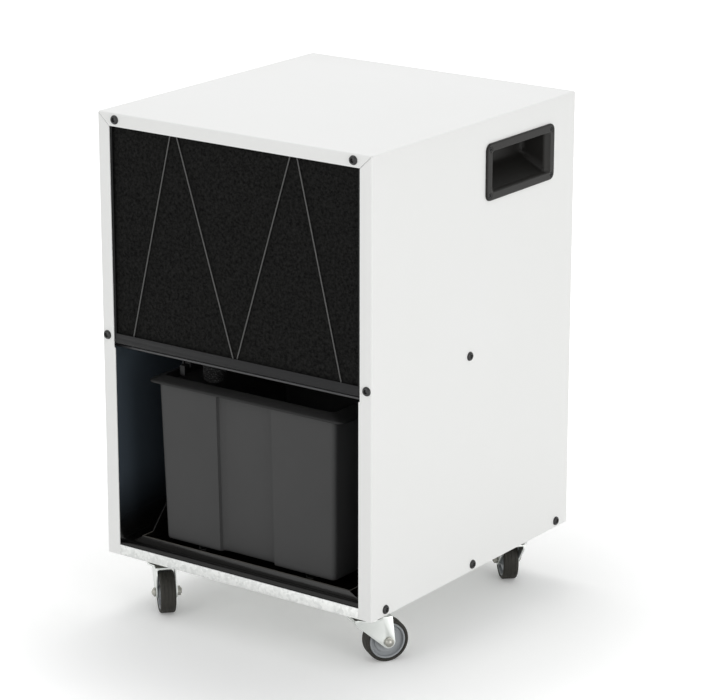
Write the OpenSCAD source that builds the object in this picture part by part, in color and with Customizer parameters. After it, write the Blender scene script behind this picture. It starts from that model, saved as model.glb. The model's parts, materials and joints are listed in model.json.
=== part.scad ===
// Portable workshop dehumidifier on four swivel casters.
// The frame: origin on the floor under the middle of the housing, +Z up, the filter and
// the water tank face -Y, and the air leaves through the back, +Y. Millimetres throughout.

/* [Housing] */
// Width of the sheet-steel cover
cover_w = 450; // [420:1:540]
// Depth of the cover, from its front flanges to its back flanges
cover_d = 478; // [470:1:560]
// Height of the cover, the casters left out
cover_h = 626; // [600:1:720]
// Thickness of the cover's painted sheet
sheet = 1.2; // [0.8:0.1:2]
// Outer radius of the cover's two upper bends
cover_bend_r = 3; // [2.5:0.5:8]
// Width of the side flanges below the filter
flange_low = 21.5; // [18:0.5:28]
// Width of the flanges beside the filter
flange_side = 19.5; // [16:0.5:26]
// Height of the flange over the filter
flange_top = 18.5; // [16:0.5:26]
// Diameter of the black dome caps on the cover's screws
cap_d = 12.6; // [9:0.1:14]
// Height of a dome cap
cap_h = 3.6; // [2:0.1:5]

/* [Base pan] */
// Thickness of the galvanised base pan
pan_sheet = 1.5; // [1:0.1:2.5]
// Height of the pan's turned-up lips
pan_lip = 15; // [13:0.5:22]

/* [Filter] */
// Room between the tank's top and the filter rail
bay_room = 41; // [34:0.1:60]
// Height of the filter rail's face
rail_h = 13.5; // [10:0.5:20]
// Depth of the filter rail under the filter mat
rail_d = 14; // [12:0.5:20]
// Thickness of the filter mat
mat_t = 12; // [6:0.5:14]
// Thickness of the retaining wire
wire_d = 2; // [1.5:0.1:3]

/* [Tank bay] */
// Depth of the tank bay behind the cover's front
bay_d = 332; // [325:1:345]
// Wall of the black bay liner
liner_wall = 2; // [1.5:0.1:3]
// Radius where the liner's sides meet its floor
liner_r = 18; // [10:1:30]
// Room between the tank's rim and the tray's side guides
tray_room = 10; // [4:0.5:16]
// Height of the tray's front ridge above its floor
ridge_h = 10; // [6:0.5:12]
// Distance of the tray's front ridge from the cover's front
ridge_in = 17; // [14:0.5:24]
// Height of the tray's side guides
guide_h = 52; // [30:1:80]

/* [Water tank] */
// Width of the tank's body under its rim
tank_w = 298; // [260:1:310]
// Length of the tank's body under its rim, front to back
tank_l = 286; // [240:1:290]
// Height of the tank
tank_h = 236; // [200:1:240]
// Wall of the tank
tank_wall = 2.8; // [2:0.1:4]
// How far the tank's sides lean in from rim to floor
tank_draft = 5; // [2:0.5:10]
// Radius of the tank's upright corners
tank_r = 6; // [5:0.5:12]
// Overhang of the rim at the tank's sides
rim_side = 16; // [10:0.5:20]
// Overhang of the rim at the tank's front and back
rim_end = 6; // [4:0.5:8]
// Height of the rim's skirt
rim_h = 13; // [8:0.5:18]
// Width of the panel set into the tank's front
recess_w = 92; // [60:1:140]
// Depth of the panel set into the tank's front
recess_d = 7; // [3:0.5:10]
// Room between the hanging hose or float lever and the tank's rim
rim_room = 1; // [0.6:0.1:6]

/* [Casters] */
// Height of the casters, floor to base pan
caster_h = 86.5; // [82:0.5:110]
// Diameter of the wheels
wheel_d = 60; // [50:1:62]
// Width of the tyres
wheel_w = 22; // [18:1:26]
// Distance of the axle behind the swivel axis
caster_trail = 26; // [20:0.5:30]
// Distance of the swivel axes from the cover's sides
caster_in_x = 50; // [46:1:70]
// Distance of the front swivel axes from the cover's front
caster_in_front = 59; // [46:1:80]
// Distance of the rear swivel axes from the cover's back
caster_in_rear = 67; // [46:1:80]
// Side of the square caster plates
plate_side = 60; // [54:1:66]
// Thickness of the caster plates and forks
fork_sheet = 2.5; // [2:0.1:3.5]
// Diameter of the kingpins
kingpin_d = 10; // [8:0.5:12]
// Diameter of the wheel axles
axle_d = 8; // [6:0.5:10]
// Radius of the hubs, inside the tyres
hub_r = 25.2; // [20:0.1:26]

/* [Side handles] */
// Length of a handle's bezel along the side
handle_l = 165; // [130:1:190]
// Height of a handle's bezel
handle_h = 78; // [64:1:96]
// Width of the bezel's frame round the hand hole
bezel_w = 15; // [12:0.5:20]
// Depth of the hand cup
cup_d = 38; // [28:1:42]
// Distance of the handles' middle behind the cover's front
handle_y = 339; // [320:1:350]
// Distance of the handles' middle below the cover's top
handle_drop = 73; // [62:1:110]

/* [Cooling circuit] */
// Distance of the evaporator behind the cover's front
evaporator_y = 30; // [28:0.5:36]
// Thickness of the evaporator
evaporator_t = 40; // [30:1:44]
// Distance of the condenser behind the cover's front
condenser_y = 82; // [80:0.5:90]
// Thickness of the condenser
condenser_t = 34; // [24:1:36]
// Room at each side of the finned blocks for their return bends
coil_room = 35; // [32:1:60]
// Height of the finned blocks
coil_h = 260; // [220:1:270]
// Spacing of the modelled fins
fin_pitch = 10; // [6:0.5:14]
// Diameter of the copper tubes
tube_d = 9; // [7:0.5:11]
// Diameter of the compressor's shell
compressor_d = 116; // [96:1:122]
// Height of the compressor's shell
compressor_h = 188; // [150:1:200]

/* [Fan] */
// Diameter of the fan
fan_d = 246; // [200:1:250]
// Number of fan blades
fan_blades = 5; // [4:1:7]
// Distance of the fan's wall behind the cover's front
shroud_y = 128; // [126:0.5:140]
// Diameter of the fan motor
motor_d = 82; // [70:1:90]
// Length of the fan motor
motor_l = 66; // [50:1:80]

/* [Back] */
// Width of the outlet grille
grille_w = 350; // [300:1:370]
// Height of the outlet grille
grille_h = 226; // [180:1:240]
// Number of louvre slats
slats = 13; // [9:1:15]
// Width of the control recess
panel_w = 176; // [160:1:190]
// Height of the control recess
panel_h = 96; // [84:1:110]
// Depth of the control recess
panel_d = 20; // [19:0.5:28]
// Diameter of the humidity knob
knob_d = 38; // [30:1:44]

/* [Hidden] */
$fn = 48;
e = 0.01;                          // a cut reaches this far past a face
run_gap = 0.05;                    // radial clearance of a turning fit
seat_gap = 0.2;                    // clearance between pieces that rest side by side
elbow_extra = 0.1;                 // how much fatter a tube's elbow is than the tube
screw_d = 4.8;                     // shank of the cover's screws

// Planes of the housing
side_x = cover_w / 2;
front_y = -cover_d / 2;
back_y = cover_d / 2;
low_z = caster_h;
top_z = caster_h + cover_h;
under_bend_z = top_z - cover_bend_r - seat_gap;

// Planes of the pan, liner and tray
pan_top_z = low_z + pan_sheet;
liner_z = low_z + pan_lip + seat_gap;
liner_x = side_x - sheet - pan_sheet - 2 * seat_gap - 2;
floor_z = liner_z + liner_wall;
tray_sheet = 1.5;
tray_z = floor_z + tray_sheet;
ridge_z = floor_z + ridge_h + tray_sheet;
tray_back_y = front_y + bay_d - liner_wall - seat_gap;
tray_half_w = tank_w / 2 + rim_side + tray_room;

// The tank stands this high, clear of the front ridge
tank_z = ridge_z + 0.6;
tank_top = tank_z + tank_h;

// The shelf over the bay and the filter rail on it
rail_z = tank_top + bay_room;
shelf_t = 1.5;
shelf_z = rail_z - 8.3;            // underside of the shelf
shelf_top = shelf_z + shelf_t;
shelf_front = front_y + sheet + seat_gap + rail_d;
shelf_x = side_x - sheet - seat_gap;
shelf_flange = 16;
frame_y = front_y + sheet + seat_gap;
frame_t = 1.2;
mat_y = frame_y + frame_t + wire_d + 2 * seat_gap;
wire_y = mat_y - wire_d / 2 - seat_gap / 2;
mat_back = mat_y + mat_t;
screw_l = mat_y - front_y - 2 * seat_gap;   // the cover's screws end short of the mat

tank_front = front_y + 23;         // the body's front under the rim
tank_back = tank_front + tank_l;
front_lean = 6;                    // how far the front face leans in
recess_x = -3;                     // the set-in panel sits a little to the left

// Casters: each is [name index, x, y, angle of its trail at rest]
plate_z = caster_h - fork_sheet;
axle_z = wheel_d / 2;
crown_z = wheel_d + 4;             // underside of the fork's crown
crown_top = crown_z + fork_sheet;
caster_x = side_x - caster_in_x;
casters = [
    [caster_x, front_y + caster_in_front, 56],
    [-caster_x, front_y + caster_in_front, -43.5],
    [caster_x, back_y - caster_in_rear, 135],
    [-caster_x, back_y - caster_in_rear, 62]
];
bolt_in = 7;                       // bolt centres from the plate's edges
bolt_at = plate_side / 2 - bolt_in;
caster_bolt_d = 6;

// Handles
handle_mid_y = front_y + handle_y;
handle_mid_z = top_z - handle_drop;
bezel_t = 3.2;
bezel_screw_in = 7.5;
cup_wall = 2;
finger_room = 12;                  // how far the cup reaches up behind the sheet

// Cooling circuit
coil_w = cover_w - 2 * coil_room;
tube_end_x = coil_w / 2 + 6;       // where the straight tubes end
drip_z = shelf_top + 3;
coil_z = drip_z + 12;
coil_mid_z = coil_z + coil_h / 2;
compressor_x = 84;
compressor_y = back_y - 80;
compressor_z = pan_top_z + 20;
fan_mid_z = coil_mid_z;
fan_y = front_y + shroud_y + 24;   // middle of the blades
motor_y = fan_y + 30;              // the motor's face toward the blades
shaft_d = 8;

// Back
back_panel_y = back_y - sheet - seat_gap - 1.2;
back_panel_t = 1.2;
grille_mid_z = top_z - 150;
panel_mid_x = -96;
panel_mid_z = shelf_z - 66;
panel_wall = 2;
panel_floor_y = back_panel_y + back_panel_t - panel_d;
knob_x = panel_mid_x - panel_w / 2 + 40;
rocker_x = knob_x + 52;
lamp_x = rocker_x + 26;
counter_x = lamp_x + 28;
gland_x = lamp_x + 4;
rocker_w = 14;
rocker_h = 21;

// ---------------------------------------------------------------- helpers

// A rectangle with round corners, drawn about its middle
module rounded_rect(w, h, r) {
    square([w - 2 * r, h], center = true);
    square([w, h - 2 * r], center = true);
    for (sx = [-1, 1], sz = [-1, 1])
        translate([sx * (w / 2 - r), sz * (h / 2 - r)]) circle(r);
}

// A drawing in x and z made a plate t thick, whose front face lies at y
module upright_plate(y, t) {
    translate([0, y + t, 0]) rotate([90, 0, 0]) linear_extrude(t) children();
}

// A drawing in y and z made a plate t thick, from x toward +X
module side_plate(x, t) {
    translate([x, 0, 0]) rotate([90, 0, 90]) linear_extrude(t) children();
}

// A box given by its low corner and its high corner
module box(low, high) {
    translate(low) cube(high - low);
}

// A round bar from point a to point b
module bar(a, b, d) {
    v = b - a;
    translate(a)
        rotate([0, acos(v[2] / norm(v)), atan2(v[1], v[0])])
            cylinder(d = d, h = norm(v));
}

// A bent tube: bars between the points, with round elbows
module bent_tube(points, d) {
    for (i = [0:len(points) - 2]) bar(points[i], points[i + 1], d);
    for (i = [1:len(points) - 2]) translate(points[i]) sphere(d = d + elbow_extra);
}

function unit(v) = v / norm(v);

// Half the inner angle at corner i of a path, and how far its bend reaches from there
function half_angle(path, i) = acos(unit(path[i - 1] - path[i]) * unit(path[i + 1] - path[i])) / 2;
function bend_reach(path, i, r) =
    i == 0 || i == len(path) - 1 ? 0 : r / tan(half_angle(path, i));

// A round wire bent in one upright plane: the path is given in x and z, r bends its corners
module bent_wire(path, y, r, d) {
    for (i = [0:len(path) - 2]) {
        way = unit(path[i + 1] - path[i]);
        a = path[i] + way * (bend_reach(path, i, r) - elbow_extra);
        b = path[i + 1] - way * (bend_reach(path, i + 1, r) - elbow_extra);
        bar([a[0], y, a[1]], [b[0], y, b[1]], d - elbow_extra);
    }
    for (i = [1:len(path) - 2]) {
        u = unit(path[i - 1] - path[i]);
        v = unit(path[i + 1] - path[i]);
        half = half_angle(path, i);
        m = path[i] + unit(u + v) * r / sin(half);
        from_u = path[i] + u * bend_reach(path, i, r) - m;
        from_v = path[i] + v * bend_reach(path, i, r) - m;
        start = u[0] * v[1] - u[1] * v[0] > 0 ? from_v : from_u;
        translate([m[0], y, m[1]]) rotate([90, 0, 0])
            rotate([0, 0, atan2(start[1], start[0])])
                rotate_extrude(angle = 180 - 2 * half) translate([r, 0]) circle(d = d);
    }
}

// A dome of height h over a disc of diameter d, its flat side on z = 0
module dome(d, h) {
    r = (d * d / 4 + h * h) / (2 * h);
    rotate_extrude() intersection() {
        translate([0, h - r]) circle(r, $fn = 96);
        square([d, h + 1]);
    }
}

// Places the children at one caster: swivel axis on z, the wheel trailing toward +X
module at_caster(c) {
    translate([c[0], c[1], 0]) rotate([0, 0, c[2]]) children();
}

// ---------------------------------------------------------------- housing

// The cover's outline in x and z, shrunk by t
module cover_outline(t) {
    w = cover_w - 2 * t;
    h = cover_h - t;
    r = cover_bend_r - t;
    translate([-w / 2, low_z]) square([w, h - r]);
    translate([-w / 2 + r, low_z]) square([w - 2 * r, h]);
    for (s = [-1, 1]) translate([s * (w / 2 - r), low_z + h - r]) circle(r);
}

// A flange frame: the outline with its opening, and a fine slit at each mitre
module flange_outline(upper) {
    difference() {
        cover_outline(0);
        translate([-side_x + flange_low, low_z - e])
            square([cover_w - 2 * flange_low, rail_z - low_z + 1]);
        translate([-side_x + upper, rail_z])
            square([cover_w - 2 * upper, top_z - flange_top - rail_z]);
        for (s = [-1, 1])
            translate([s * (side_x - upper), top_z - flange_top])
                rotate(s > 0 ? 45 : 135)
                    translate([-1, -0.3]) square([upper * 1.3, 0.6]);
    }
}

// Where the dome-capped screws sit in the front and back flanges
flange_screws = [
    for (s = [-1, 1]) [s * (side_x - 29.5), top_z - flange_top / 2],
    for (s = [-1, 1]) [s * (side_x - 8.5), rail_z + 9.7]
];

// Holes for the flange screws through a sheet of thickness t at y
module screw_holes(y, t) for (p = flange_screws)
    translate([p[0], y - e, p[1]]) rotate([-90, 0, 0])
        cylinder(d = screw_d + 0.2, h = t + 2 * e);

// Where they sit in the sides, as y and z
side_screws = [
    [front_y + 31, low_z + pan_lip * 0.6],
    [front_y + cover_d / 2 - 3, low_z + pan_lip * 0.6],
    [back_y - 30, low_z + pan_lip * 0.6],
    [front_y + cover_d / 2 - 15, shelf_top + shelf_flange / 2 + 1.5]
];

module outer_cover() color([0.94, 0.94, 0.93]) difference() {
    union() {
        upright_plate(front_y, cover_d) difference() {
            cover_outline(0);
            translate([0, -e]) cover_outline(sheet);
        }
        upright_plate(front_y, sheet) flange_outline(flange_side);
        upright_plate(back_y - sheet, sheet) flange_outline(flange_side);
    }
    for (p = flange_screws)
        translate([p[0], front_y - e, p[1]]) rotate([-90, 0, 0])
            cylinder(d = screw_d + 0.4, h = cover_d + 2 * e);
    for (p = side_screws)
        translate([-side_x - e, p[0], p[1]]) rotate([0, 90, 0])
            cylinder(d = screw_d + 0.4, h = cover_w + 2 * e);
    // hand holes behind the handle bezels
    side_plate(-side_x - e, cover_w + 2 * e) translate([handle_mid_y, handle_mid_z])
        rounded_rect(handle_l - bezel_w, handle_h - bezel_w, 4);
    handle_screw_positions() rotate([0, 90, 0]) translate([0, 0, -8])
        cylinder(d = 3.4, h = 16);
}

// One dome-capped screw, its shank toward -Z
module capped_screw() {
    dome(cap_d, cap_h);
    translate([0, 0, -screw_l]) cylinder(d = screw_d, h = screw_l + e);
}

module cover_screws() color([0.16, 0.16, 0.16]) {
    for (p = flange_screws) {
        translate([p[0], front_y, p[1]]) rotate([90, 0, 0]) capped_screw();
        translate([p[0], back_y, p[1]]) rotate([-90, 0, 0]) capped_screw();
    }
    for (p = side_screws) {
        translate([side_x, p[0], p[1]]) rotate([0, 90, 0]) capped_screw();
        translate([-side_x, p[0], p[1]]) rotate([0, -90, 0]) capped_screw();
    }
}

// Half width of the pan inside the cover, and of its lips between the flanges
pan_x = side_x - sheet - seat_gap;
pan_lip_x = side_x - flange_low - seat_gap;
pan_in = sheet + seat_gap;

module base_pan() color([0.75, 0.76, 0.75]) difference() {
    union() {
        box([-pan_x, front_y + pan_in, low_z], [pan_x, back_y - pan_in, pan_top_z]);
        // side lips behind the cover's sides
        for (s = [-1, 1])
            box([s > 0 ? pan_x - pan_sheet : -pan_x, front_y + pan_in, low_z],
                [s > 0 ? pan_x : -pan_x + pan_sheet, back_y - pan_in, low_z + pan_lip]);
        // front and back lips flush with the flanges
        box([-pan_lip_x, front_y, low_z], [pan_lip_x, front_y + pan_in + e, pan_top_z]);
        box([-pan_lip_x, front_y, low_z], [pan_lip_x, front_y + pan_sheet, low_z + pan_lip]);
        box([-pan_lip_x, back_y - pan_in - e, low_z], [pan_lip_x, back_y, pan_top_z]);
        box([-pan_lip_x, back_y - pan_sheet, low_z], [pan_lip_x, back_y, low_z + pan_lip]);
    }
    for (p = side_screws)
        translate([-side_x, p[0], p[1]]) rotate([0, 90, 0])
            cylinder(d = screw_d + 0.2, h = cover_w);
    for (c = casters) translate([c[0], c[1], low_z - e]) {
        cylinder(d = kingpin_d * 2 + 4, h = pan_sheet + 2 * e);
        for (sx = [-1, 1], sy = [-1, 1]) translate([sx * bolt_at, sy * bolt_at, 0])
            cylinder(d = caster_bolt_d + 0.4, h = pan_sheet + 2 * e);
    }
    compressor_bolt_positions() translate([0, 0, low_z - e])
        cylinder(d = foot_bolt_d + 0.4, h = pan_sheet + 2 * e);
}

// ---------------------------------------------------------------- casters

module caster_plates() color([0.78, 0.8, 0.82]) for (c = casters)
    translate([c[0], c[1], 0]) difference() {
        union() {
            translate([0, 0, plate_z]) linear_extrude(fork_sheet)
                rounded_rect(plate_side, plate_side, 5);
            translate([0, 0, crown_top + seat_gap])
                cylinder(d = 36, h = plate_z - crown_top - seat_gap + e);
            translate([0, 0, crown_top + (plate_z - crown_top) / 2])
                cylinder(d = 42, h = (plate_z - crown_top) / 2 + e);
        }
        translate([0, 0, crown_top - e])
            cylinder(d = kingpin_d + 2 * run_gap, h = caster_h);
        for (sx = [-1, 1], sy = [-1, 1]) translate([sx * bolt_at, sy * bolt_at, plate_z - e])
            cylinder(d = caster_bolt_d + 0.4, h = fork_sheet + 2 * e);
    }

module caster_bolts() color([0.72, 0.73, 0.72]) for (c = casters)
    for (sx = [-1, 1], sy = [-1, 1])
        translate([c[0] + sx * bolt_at, c[1] + sy * bolt_at, 0]) {
            translate([0, 0, pan_top_z]) dome(12, 4);
            translate([0, 0, plate_z - 6])
                cylinder(d = caster_bolt_d, h = pan_top_z - plate_z + 6 + e);
            translate([0, 0, plate_z - 4.6]) cylinder(d = 11.5, h = 4.6, $fn = 6);
        }

// One side of the fork in x and z: broad at the crown, swept back to the axle
module fork_leg() {
    difference() {
        union() {
            polygon([
                [-22, crown_top], [31, crown_top], [caster_trail + 9, axle_z],
                [caster_trail - 6.4, axle_z - 6.4], [-22, crown_top - 6]
            ]);
            translate([caster_trail, axle_z]) circle(9);
        }
        translate([caster_trail, axle_z]) circle(d = axle_d + 0.2);
    }
}

module fork(c) color([0.8, 0.82, 0.83]) at_caster(c) {
    leg_y = wheel_w / 2 + 1.5;
    for (s = [0, 1])
        upright_plate(s > 0 ? leg_y : -leg_y - fork_sheet, fork_sheet) fork_leg();
    // the crown between the legs, and the kingpin riveted over the plate
    translate([0, 0, crown_z]) cylinder(d = 46, h = fork_sheet);
    box([-22, -leg_y - e, crown_z], [31, leg_y + e, crown_top]);
    translate([0, 0, crown_z]) cylinder(d = kingpin_d, h = caster_h + 0.4 - crown_z);
    translate([0, 0, caster_h + 0.3]) cylinder(d = kingpin_d + 7, h = 2.2);
}

module axle(c) color([0.62, 0.63, 0.62]) at_caster(c) {
    outside = wheel_w / 2 + 1.5 + fork_sheet;
    translate([caster_trail, 0, axle_z]) rotate([90, 0, 0]) {
        translate([0, 0, -outside - 6.5]) cylinder(d = axle_d, h = 2 * outside + 6.5);
        translate([0, 0, outside]) cylinder(d = 13, h = 2.6);
        translate([0, 0, outside + 2.6 - e]) dome(11, 3);
        translate([0, 0, -outside - 5]) cylinder(d = 14, h = 5, $fn = 6);
    }
}

// A grey hub: a boss, a thin web set back, and a rim ring under the tyre
module hub(c) color([0.55, 0.57, 0.58]) at_caster(c)
    translate([caster_trail, 0, axle_z]) rotate([90, 0, 0]) rotate_extrude() {
        bore = axle_d / 2 + run_gap;
        translate([bore, -wheel_w / 2 - 0.8]) square([5, wheel_w + 1.6]);
        translate([bore, -3.5]) square([hub_r - bore - 1, 7]);
        translate([hub_r - 3.4, -wheel_w / 2 + 1.6]) square([3.4, wheel_w - 3.2]);
    }

module tyre(c) color([0.2, 0.2, 0.2]) at_caster(c)
    translate([caster_trail, 0, axle_z]) rotate([90, 0, 0]) rotate_extrude() {
        r = wheel_d / 2;
        inner = hub_r + seat_gap;
        round_r = min(3, r - inner);
        translate([inner, -wheel_w / 2 + round_r]) square([r - inner, wheel_w - 2 * round_r]);
        for (s = [-1, 1]) intersection() {
            translate([r - round_r, s * (wheel_w / 2 - round_r)]) circle(round_r);
            translate([inner, -wheel_w / 2]) square([r - inner, wheel_w]);
        }
        translate([inner, -wheel_w / 2]) square([r - round_r - inner, wheel_w]);
    }

// ---------------------------------------------------------------- tank bay

// The liner's section in x and z: a trough with round lower corners, shrunk by t
module liner_outline(t) {
    w = 2 * liner_x - 2 * t;
    r = liner_r - t;
    translate([-w / 2, liner_z + t + r]) square([w, shelf_z - liner_z - r]);
    translate([-w / 2 + r, liner_z + t]) square([w - 2 * r, shelf_z - liner_z]);
    for (s = [-1, 1]) translate([s * (w / 2 - r), liner_z + t + r]) circle(r);
}

module bay_liner() color([0.11, 0.13, 0.15]) {
    liner_front = front_y + sheet + 2 * seat_gap;
    intersection() {
        union() {
            upright_plate(liner_front, bay_d - sheet - 2 * seat_gap) difference() {
                liner_outline(0);
                liner_outline(liner_wall);
            }
            upright_plate(front_y + bay_d - liner_wall, liner_wall) liner_outline(0);
        }
        box([-side_x, front_y, low_z], [side_x, back_y, shelf_z - seat_gap]);
    }
    // the floor's front edge over the pan's lip
    box([-pan_lip_x, front_y + seat_gap, liner_z], [pan_lip_x, liner_front + e, floor_z]);
}

runner_z = tank_z - 0.3;

module tank_tray() color([0.1, 0.1, 0.1]) {
    wall = 3;
    ridge_y = front_y + ridge_in;
    box([-tray_half_w - wall, ridge_y, floor_z], [tray_half_w + wall, tray_back_y, tray_z]);
    // front ridge with sloping ends
    upright_plate(ridge_y, wall) polygon([
        [-tray_half_w - 22, floor_z], [-tray_half_w, ridge_z], [tray_half_w, ridge_z],
        [tray_half_w + 22, floor_z]
    ]);
    // side guides, low at the front and stepped up behind
    rise = guide_h - ridge_h;
    for (s = [0, 1]) side_plate(s > 0 ? tray_half_w : -tray_half_w - wall, wall)
        polygon([
            [ridge_y, floor_z], [ridge_y, ridge_z], [ridge_y + 21, ridge_z],
            [ridge_y + 21 + rise * 0.93, ridge_z + rise], [tray_back_y, ridge_z + rise],
            [tray_back_y, floor_z]
        ]);
    // two runners that carry the tank
    for (s = [-1, 1]) box([s * 92 - 6, ridge_y + 26, floor_z],
        [s * 92 + 6, tray_back_y - 4, runner_z]);
}

// ---------------------------------------------------------------- water tank

// A station of the tank's skin: [half width, front y, back y, z, corner radius, recess]
function station(grow_side, grow_end, z, r, recess) = let (
    k = 1 - (z - tank_z) / tank_h,
    half = tank_w / 2 - tank_draft * k,
    front = tank_front + front_lean * k,
    back = tank_back - tank_draft * k
) [half + grow_side, front - grow_end, back + grow_end, z, r, recess];

// Points of a quarter corner, n steps, about the middle m, from angle a
function corner(m, r, a, n) =
    [for (i = [0:n]) [m[0] + r * cos(a + 90 * i / n), m[1] + r * sin(a + 90 * i / n)]];

// One closed ring of the skin: four round corners and the set-in front panel
function ring(s) = let (
    hw = s[0], yf = s[1], yb = s[2], r = s[4], n = 6,
    left = recess_x - recess_w / 2, right = recess_x + recess_w / 2,
    p = concat(
        corner([hw - r, yb - r], r, 0, n),
        corner([-hw + r, yb - r], r, 90, n),
        corner([-hw + r, yf + r], r, 180, n),
        [[left - 1.5, yf], [left + 0.5, yf + s[5]], [right - 1.5, yf + s[5]], [right + 1.5, yf]],
        corner([hw - r, yf + r], r, 270, n)
    )
) [for (q = p) [q[0], q[1], s[3]]];

// The skin of the tank: from its floor out and up, under the rim to its lip, over the rim's
// rolled top and down inside
tank_stations = let (
    t = tank_wall,
    under_rim = tank_top - rim_h,
    roll = rim_h - 2.2,
    base = 3.5,
    r_in = tank_r - t,
    r_lip = tank_r + 7,
    d = recess_d
) concat(
    [for (a = [0, 30, 60, 90]) let (in = base * (1 - sin(a)))
        station(-in, -in, tank_z + base * (1 - cos(a)), tank_r - in, d)],
    [
        station(0, 0, under_rim - 4, tank_r, d),
        station(0, 0, under_rim - 1, tank_r, 0),
        station(0, 0, tank_top - 7, tank_r, 0),
        station(rim_side * 0.45, rim_end * 0.3, tank_top - 6, tank_r + 2, 0),
        station(rim_side - 3.2, rim_end - 2.2, under_rim + 3, tank_r + 5, 0),
        station(rim_side - 2.2, rim_end - 2, under_rim, tank_r + 6, 0),
        station(rim_side, rim_end, under_rim, r_lip, 0)
    ],
    [for (a = [0:15:90]) let (k = pow(cos(a), 0.8))
        station((rim_side + 1) * k - 1, (rim_end + 1) * k - 1, under_rim + 2.2 + roll * sin(a),
            r_lip - 6.5 * (1 - cos(a)), 0)],
    [
        station(-t, -t, tank_top - 1.4, r_in, 0),
        station(-t, -t, under_rim - 1, r_in, 0),
        station(-t, -t, under_rim - 4, r_in, d),
        station(-t, -t, tank_z + t + 2, r_in, d),
        station(-t - 1.8, -t - 1.8, tank_z + t + 0.2, max(r_in - 1.8, 0.4), d)
    ]
);

module tank() color([0.29, 0.29, 0.29]) {
    rings = [for (s = tank_stations) ring(s)];
    n = len(rings[0]);
    m = len(rings);
    polyhedron(
        points = [for (r = rings) for (p = r) p],
        faces = concat(
            [[for (i = [0:n - 1]) i]],
            [for (k = [0:m - 2], i = [0:n - 1]) let (j = (i + 1) % n)
                [k * n + i, (k + 1) * n + i, (k + 1) * n + j]],
            [for (k = [0:m - 2], i = [0:n - 1]) let (j = (i + 1) % n)
                [k * n + i, (k + 1) * n + j, k * n + j]],
            [[for (i = [n - 1:-1:0]) (m - 1) * n + i]]
        )
    );
}

// ---------------------------------------------------------------- shelf and filter

hose_x = -61;
hose_y = front_y + 40;

module shelf() color([0.74, 0.75, 0.74]) difference() {
    union() {
        box([-shelf_x, shelf_front, shelf_z], [shelf_x, back_panel_y - 1, shelf_top]);
        for (s = [-1, 1])
            box([s > 0 ? shelf_x - shelf_t : -shelf_x, shelf_front, shelf_z],
                [s > 0 ? shelf_x : -shelf_x + shelf_t, back_panel_y - 1,
                    shelf_top + shelf_flange]);
    }
    for (p = side_screws)
        translate([-side_x, p[0], p[1]]) rotate([0, 90, 0])
            cylinder(d = screw_d + 0.2, h = cover_w);
    translate([hose_x, hose_y, shelf_z - e]) cylinder(d = 18, h = shelf_t + 2 * e);
    // slot for the copper lines behind the bay
    box([pipe_x - 26, pipe_y - 16, shelf_z - e], [pipe_x + 36, pipe_y + 16, shelf_top + e]);
    capacitor_positions() translate([0, 0, shelf_z - e])
        cylinder(d = 8.4, h = shelf_t + 2 * e);
}

module filter_rail() color([0.17, 0.17, 0.17]) difference() {
    x = side_x - sheet - 2 * seat_gap - shelf_t;
    rail_back = shelf_front + 3;
    union() {
        box([-x, frame_y, rail_z], [x, frame_y + frame_t, rail_z + rail_h]);
        box([-x, frame_y, rail_z], [x, rail_back, rail_z + frame_t]);
        box([-x, rail_back - frame_t, shelf_top], [x, rail_back, rail_z + e]);
    }
    screw_holes(frame_y, frame_t);
}

// Legs of the filter frame behind the side flanges, and its head behind the top flange
module filter_frame() color([0.13, 0.13, 0.13]) difference() {
    reach = 3.5;
    x_in = side_x - flange_side - reach;
    x_out = side_x - sheet - seat_gap;
    foot = rail_z + rail_h + seat_gap;
    head = under_bend_z;
    union() {
        for (s = [-1, 1]) {
            box([s > 0 ? x_in : -x_out, frame_y, foot],
                [s > 0 ? x_out : -x_in, frame_y + frame_t, head]);
            box([s > 0 ? x_out - frame_t : -x_out, frame_y, foot],
                [s > 0 ? x_out : -x_out + frame_t, mat_back, head]);
        }
        box([-x_out, frame_y, top_z - flange_top + 1], [x_out, frame_y + frame_t, head]);
        box([-x_out, frame_y, head - frame_t], [x_out, mat_back, head]);
    }
    screw_holes(frame_y, frame_t);
}

module filter_mat() color([0.12, 0.12, 0.12]) {
    x = side_x - sheet - 2 * seat_gap - frame_t - screw_l / 2;
    box([-x, mat_y, rail_z + frame_t + seat_gap], [x, mat_back, under_bend_z - frame_t - seat_gap]);
}

// The retaining wire: two springy peaks that lodge behind the top flange
wire_low = rail_z + 10;
wire_high = top_z - 8;
wire_path = let (
    foot = side_x - 51,
    peak = 99,
    tip = 2.4
) [
    [-foot - 8, wire_low - 2], [-foot, wire_low],
    [-peak - tip, wire_high], [-peak + tip, wire_high],
    [-tip, wire_low], [tip, wire_low],
    [peak - tip, wire_high], [peak + tip, wire_high],
    [foot, wire_low], [foot + 8, wire_low - 2]
];

module filter_wire() color([0.4, 0.4, 0.4]) bent_wire(wire_path, wire_y, 2.2, wire_d);

// ---------------------------------------------------------------- drain and float

sleeve_z = tank_top + rim_room;

spout_d = 13;
sleeve_d = 35;
sleeve_lean = 9;                   // the soft sleeve hangs a little askew
spout_end = sleeve_z + 19;         // above the sleeve's end, clear of its leaning bore

module drain_spout() color([0.35, 0.35, 0.36]) difference() {
    translate([hose_x, hose_y, spout_end]) cylinder(d = spout_d, h = drip_z - spout_end);
    translate([hose_x, hose_y, sleeve_z]) cylinder(d = spout_d - 3, h = drip_z);
}

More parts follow.
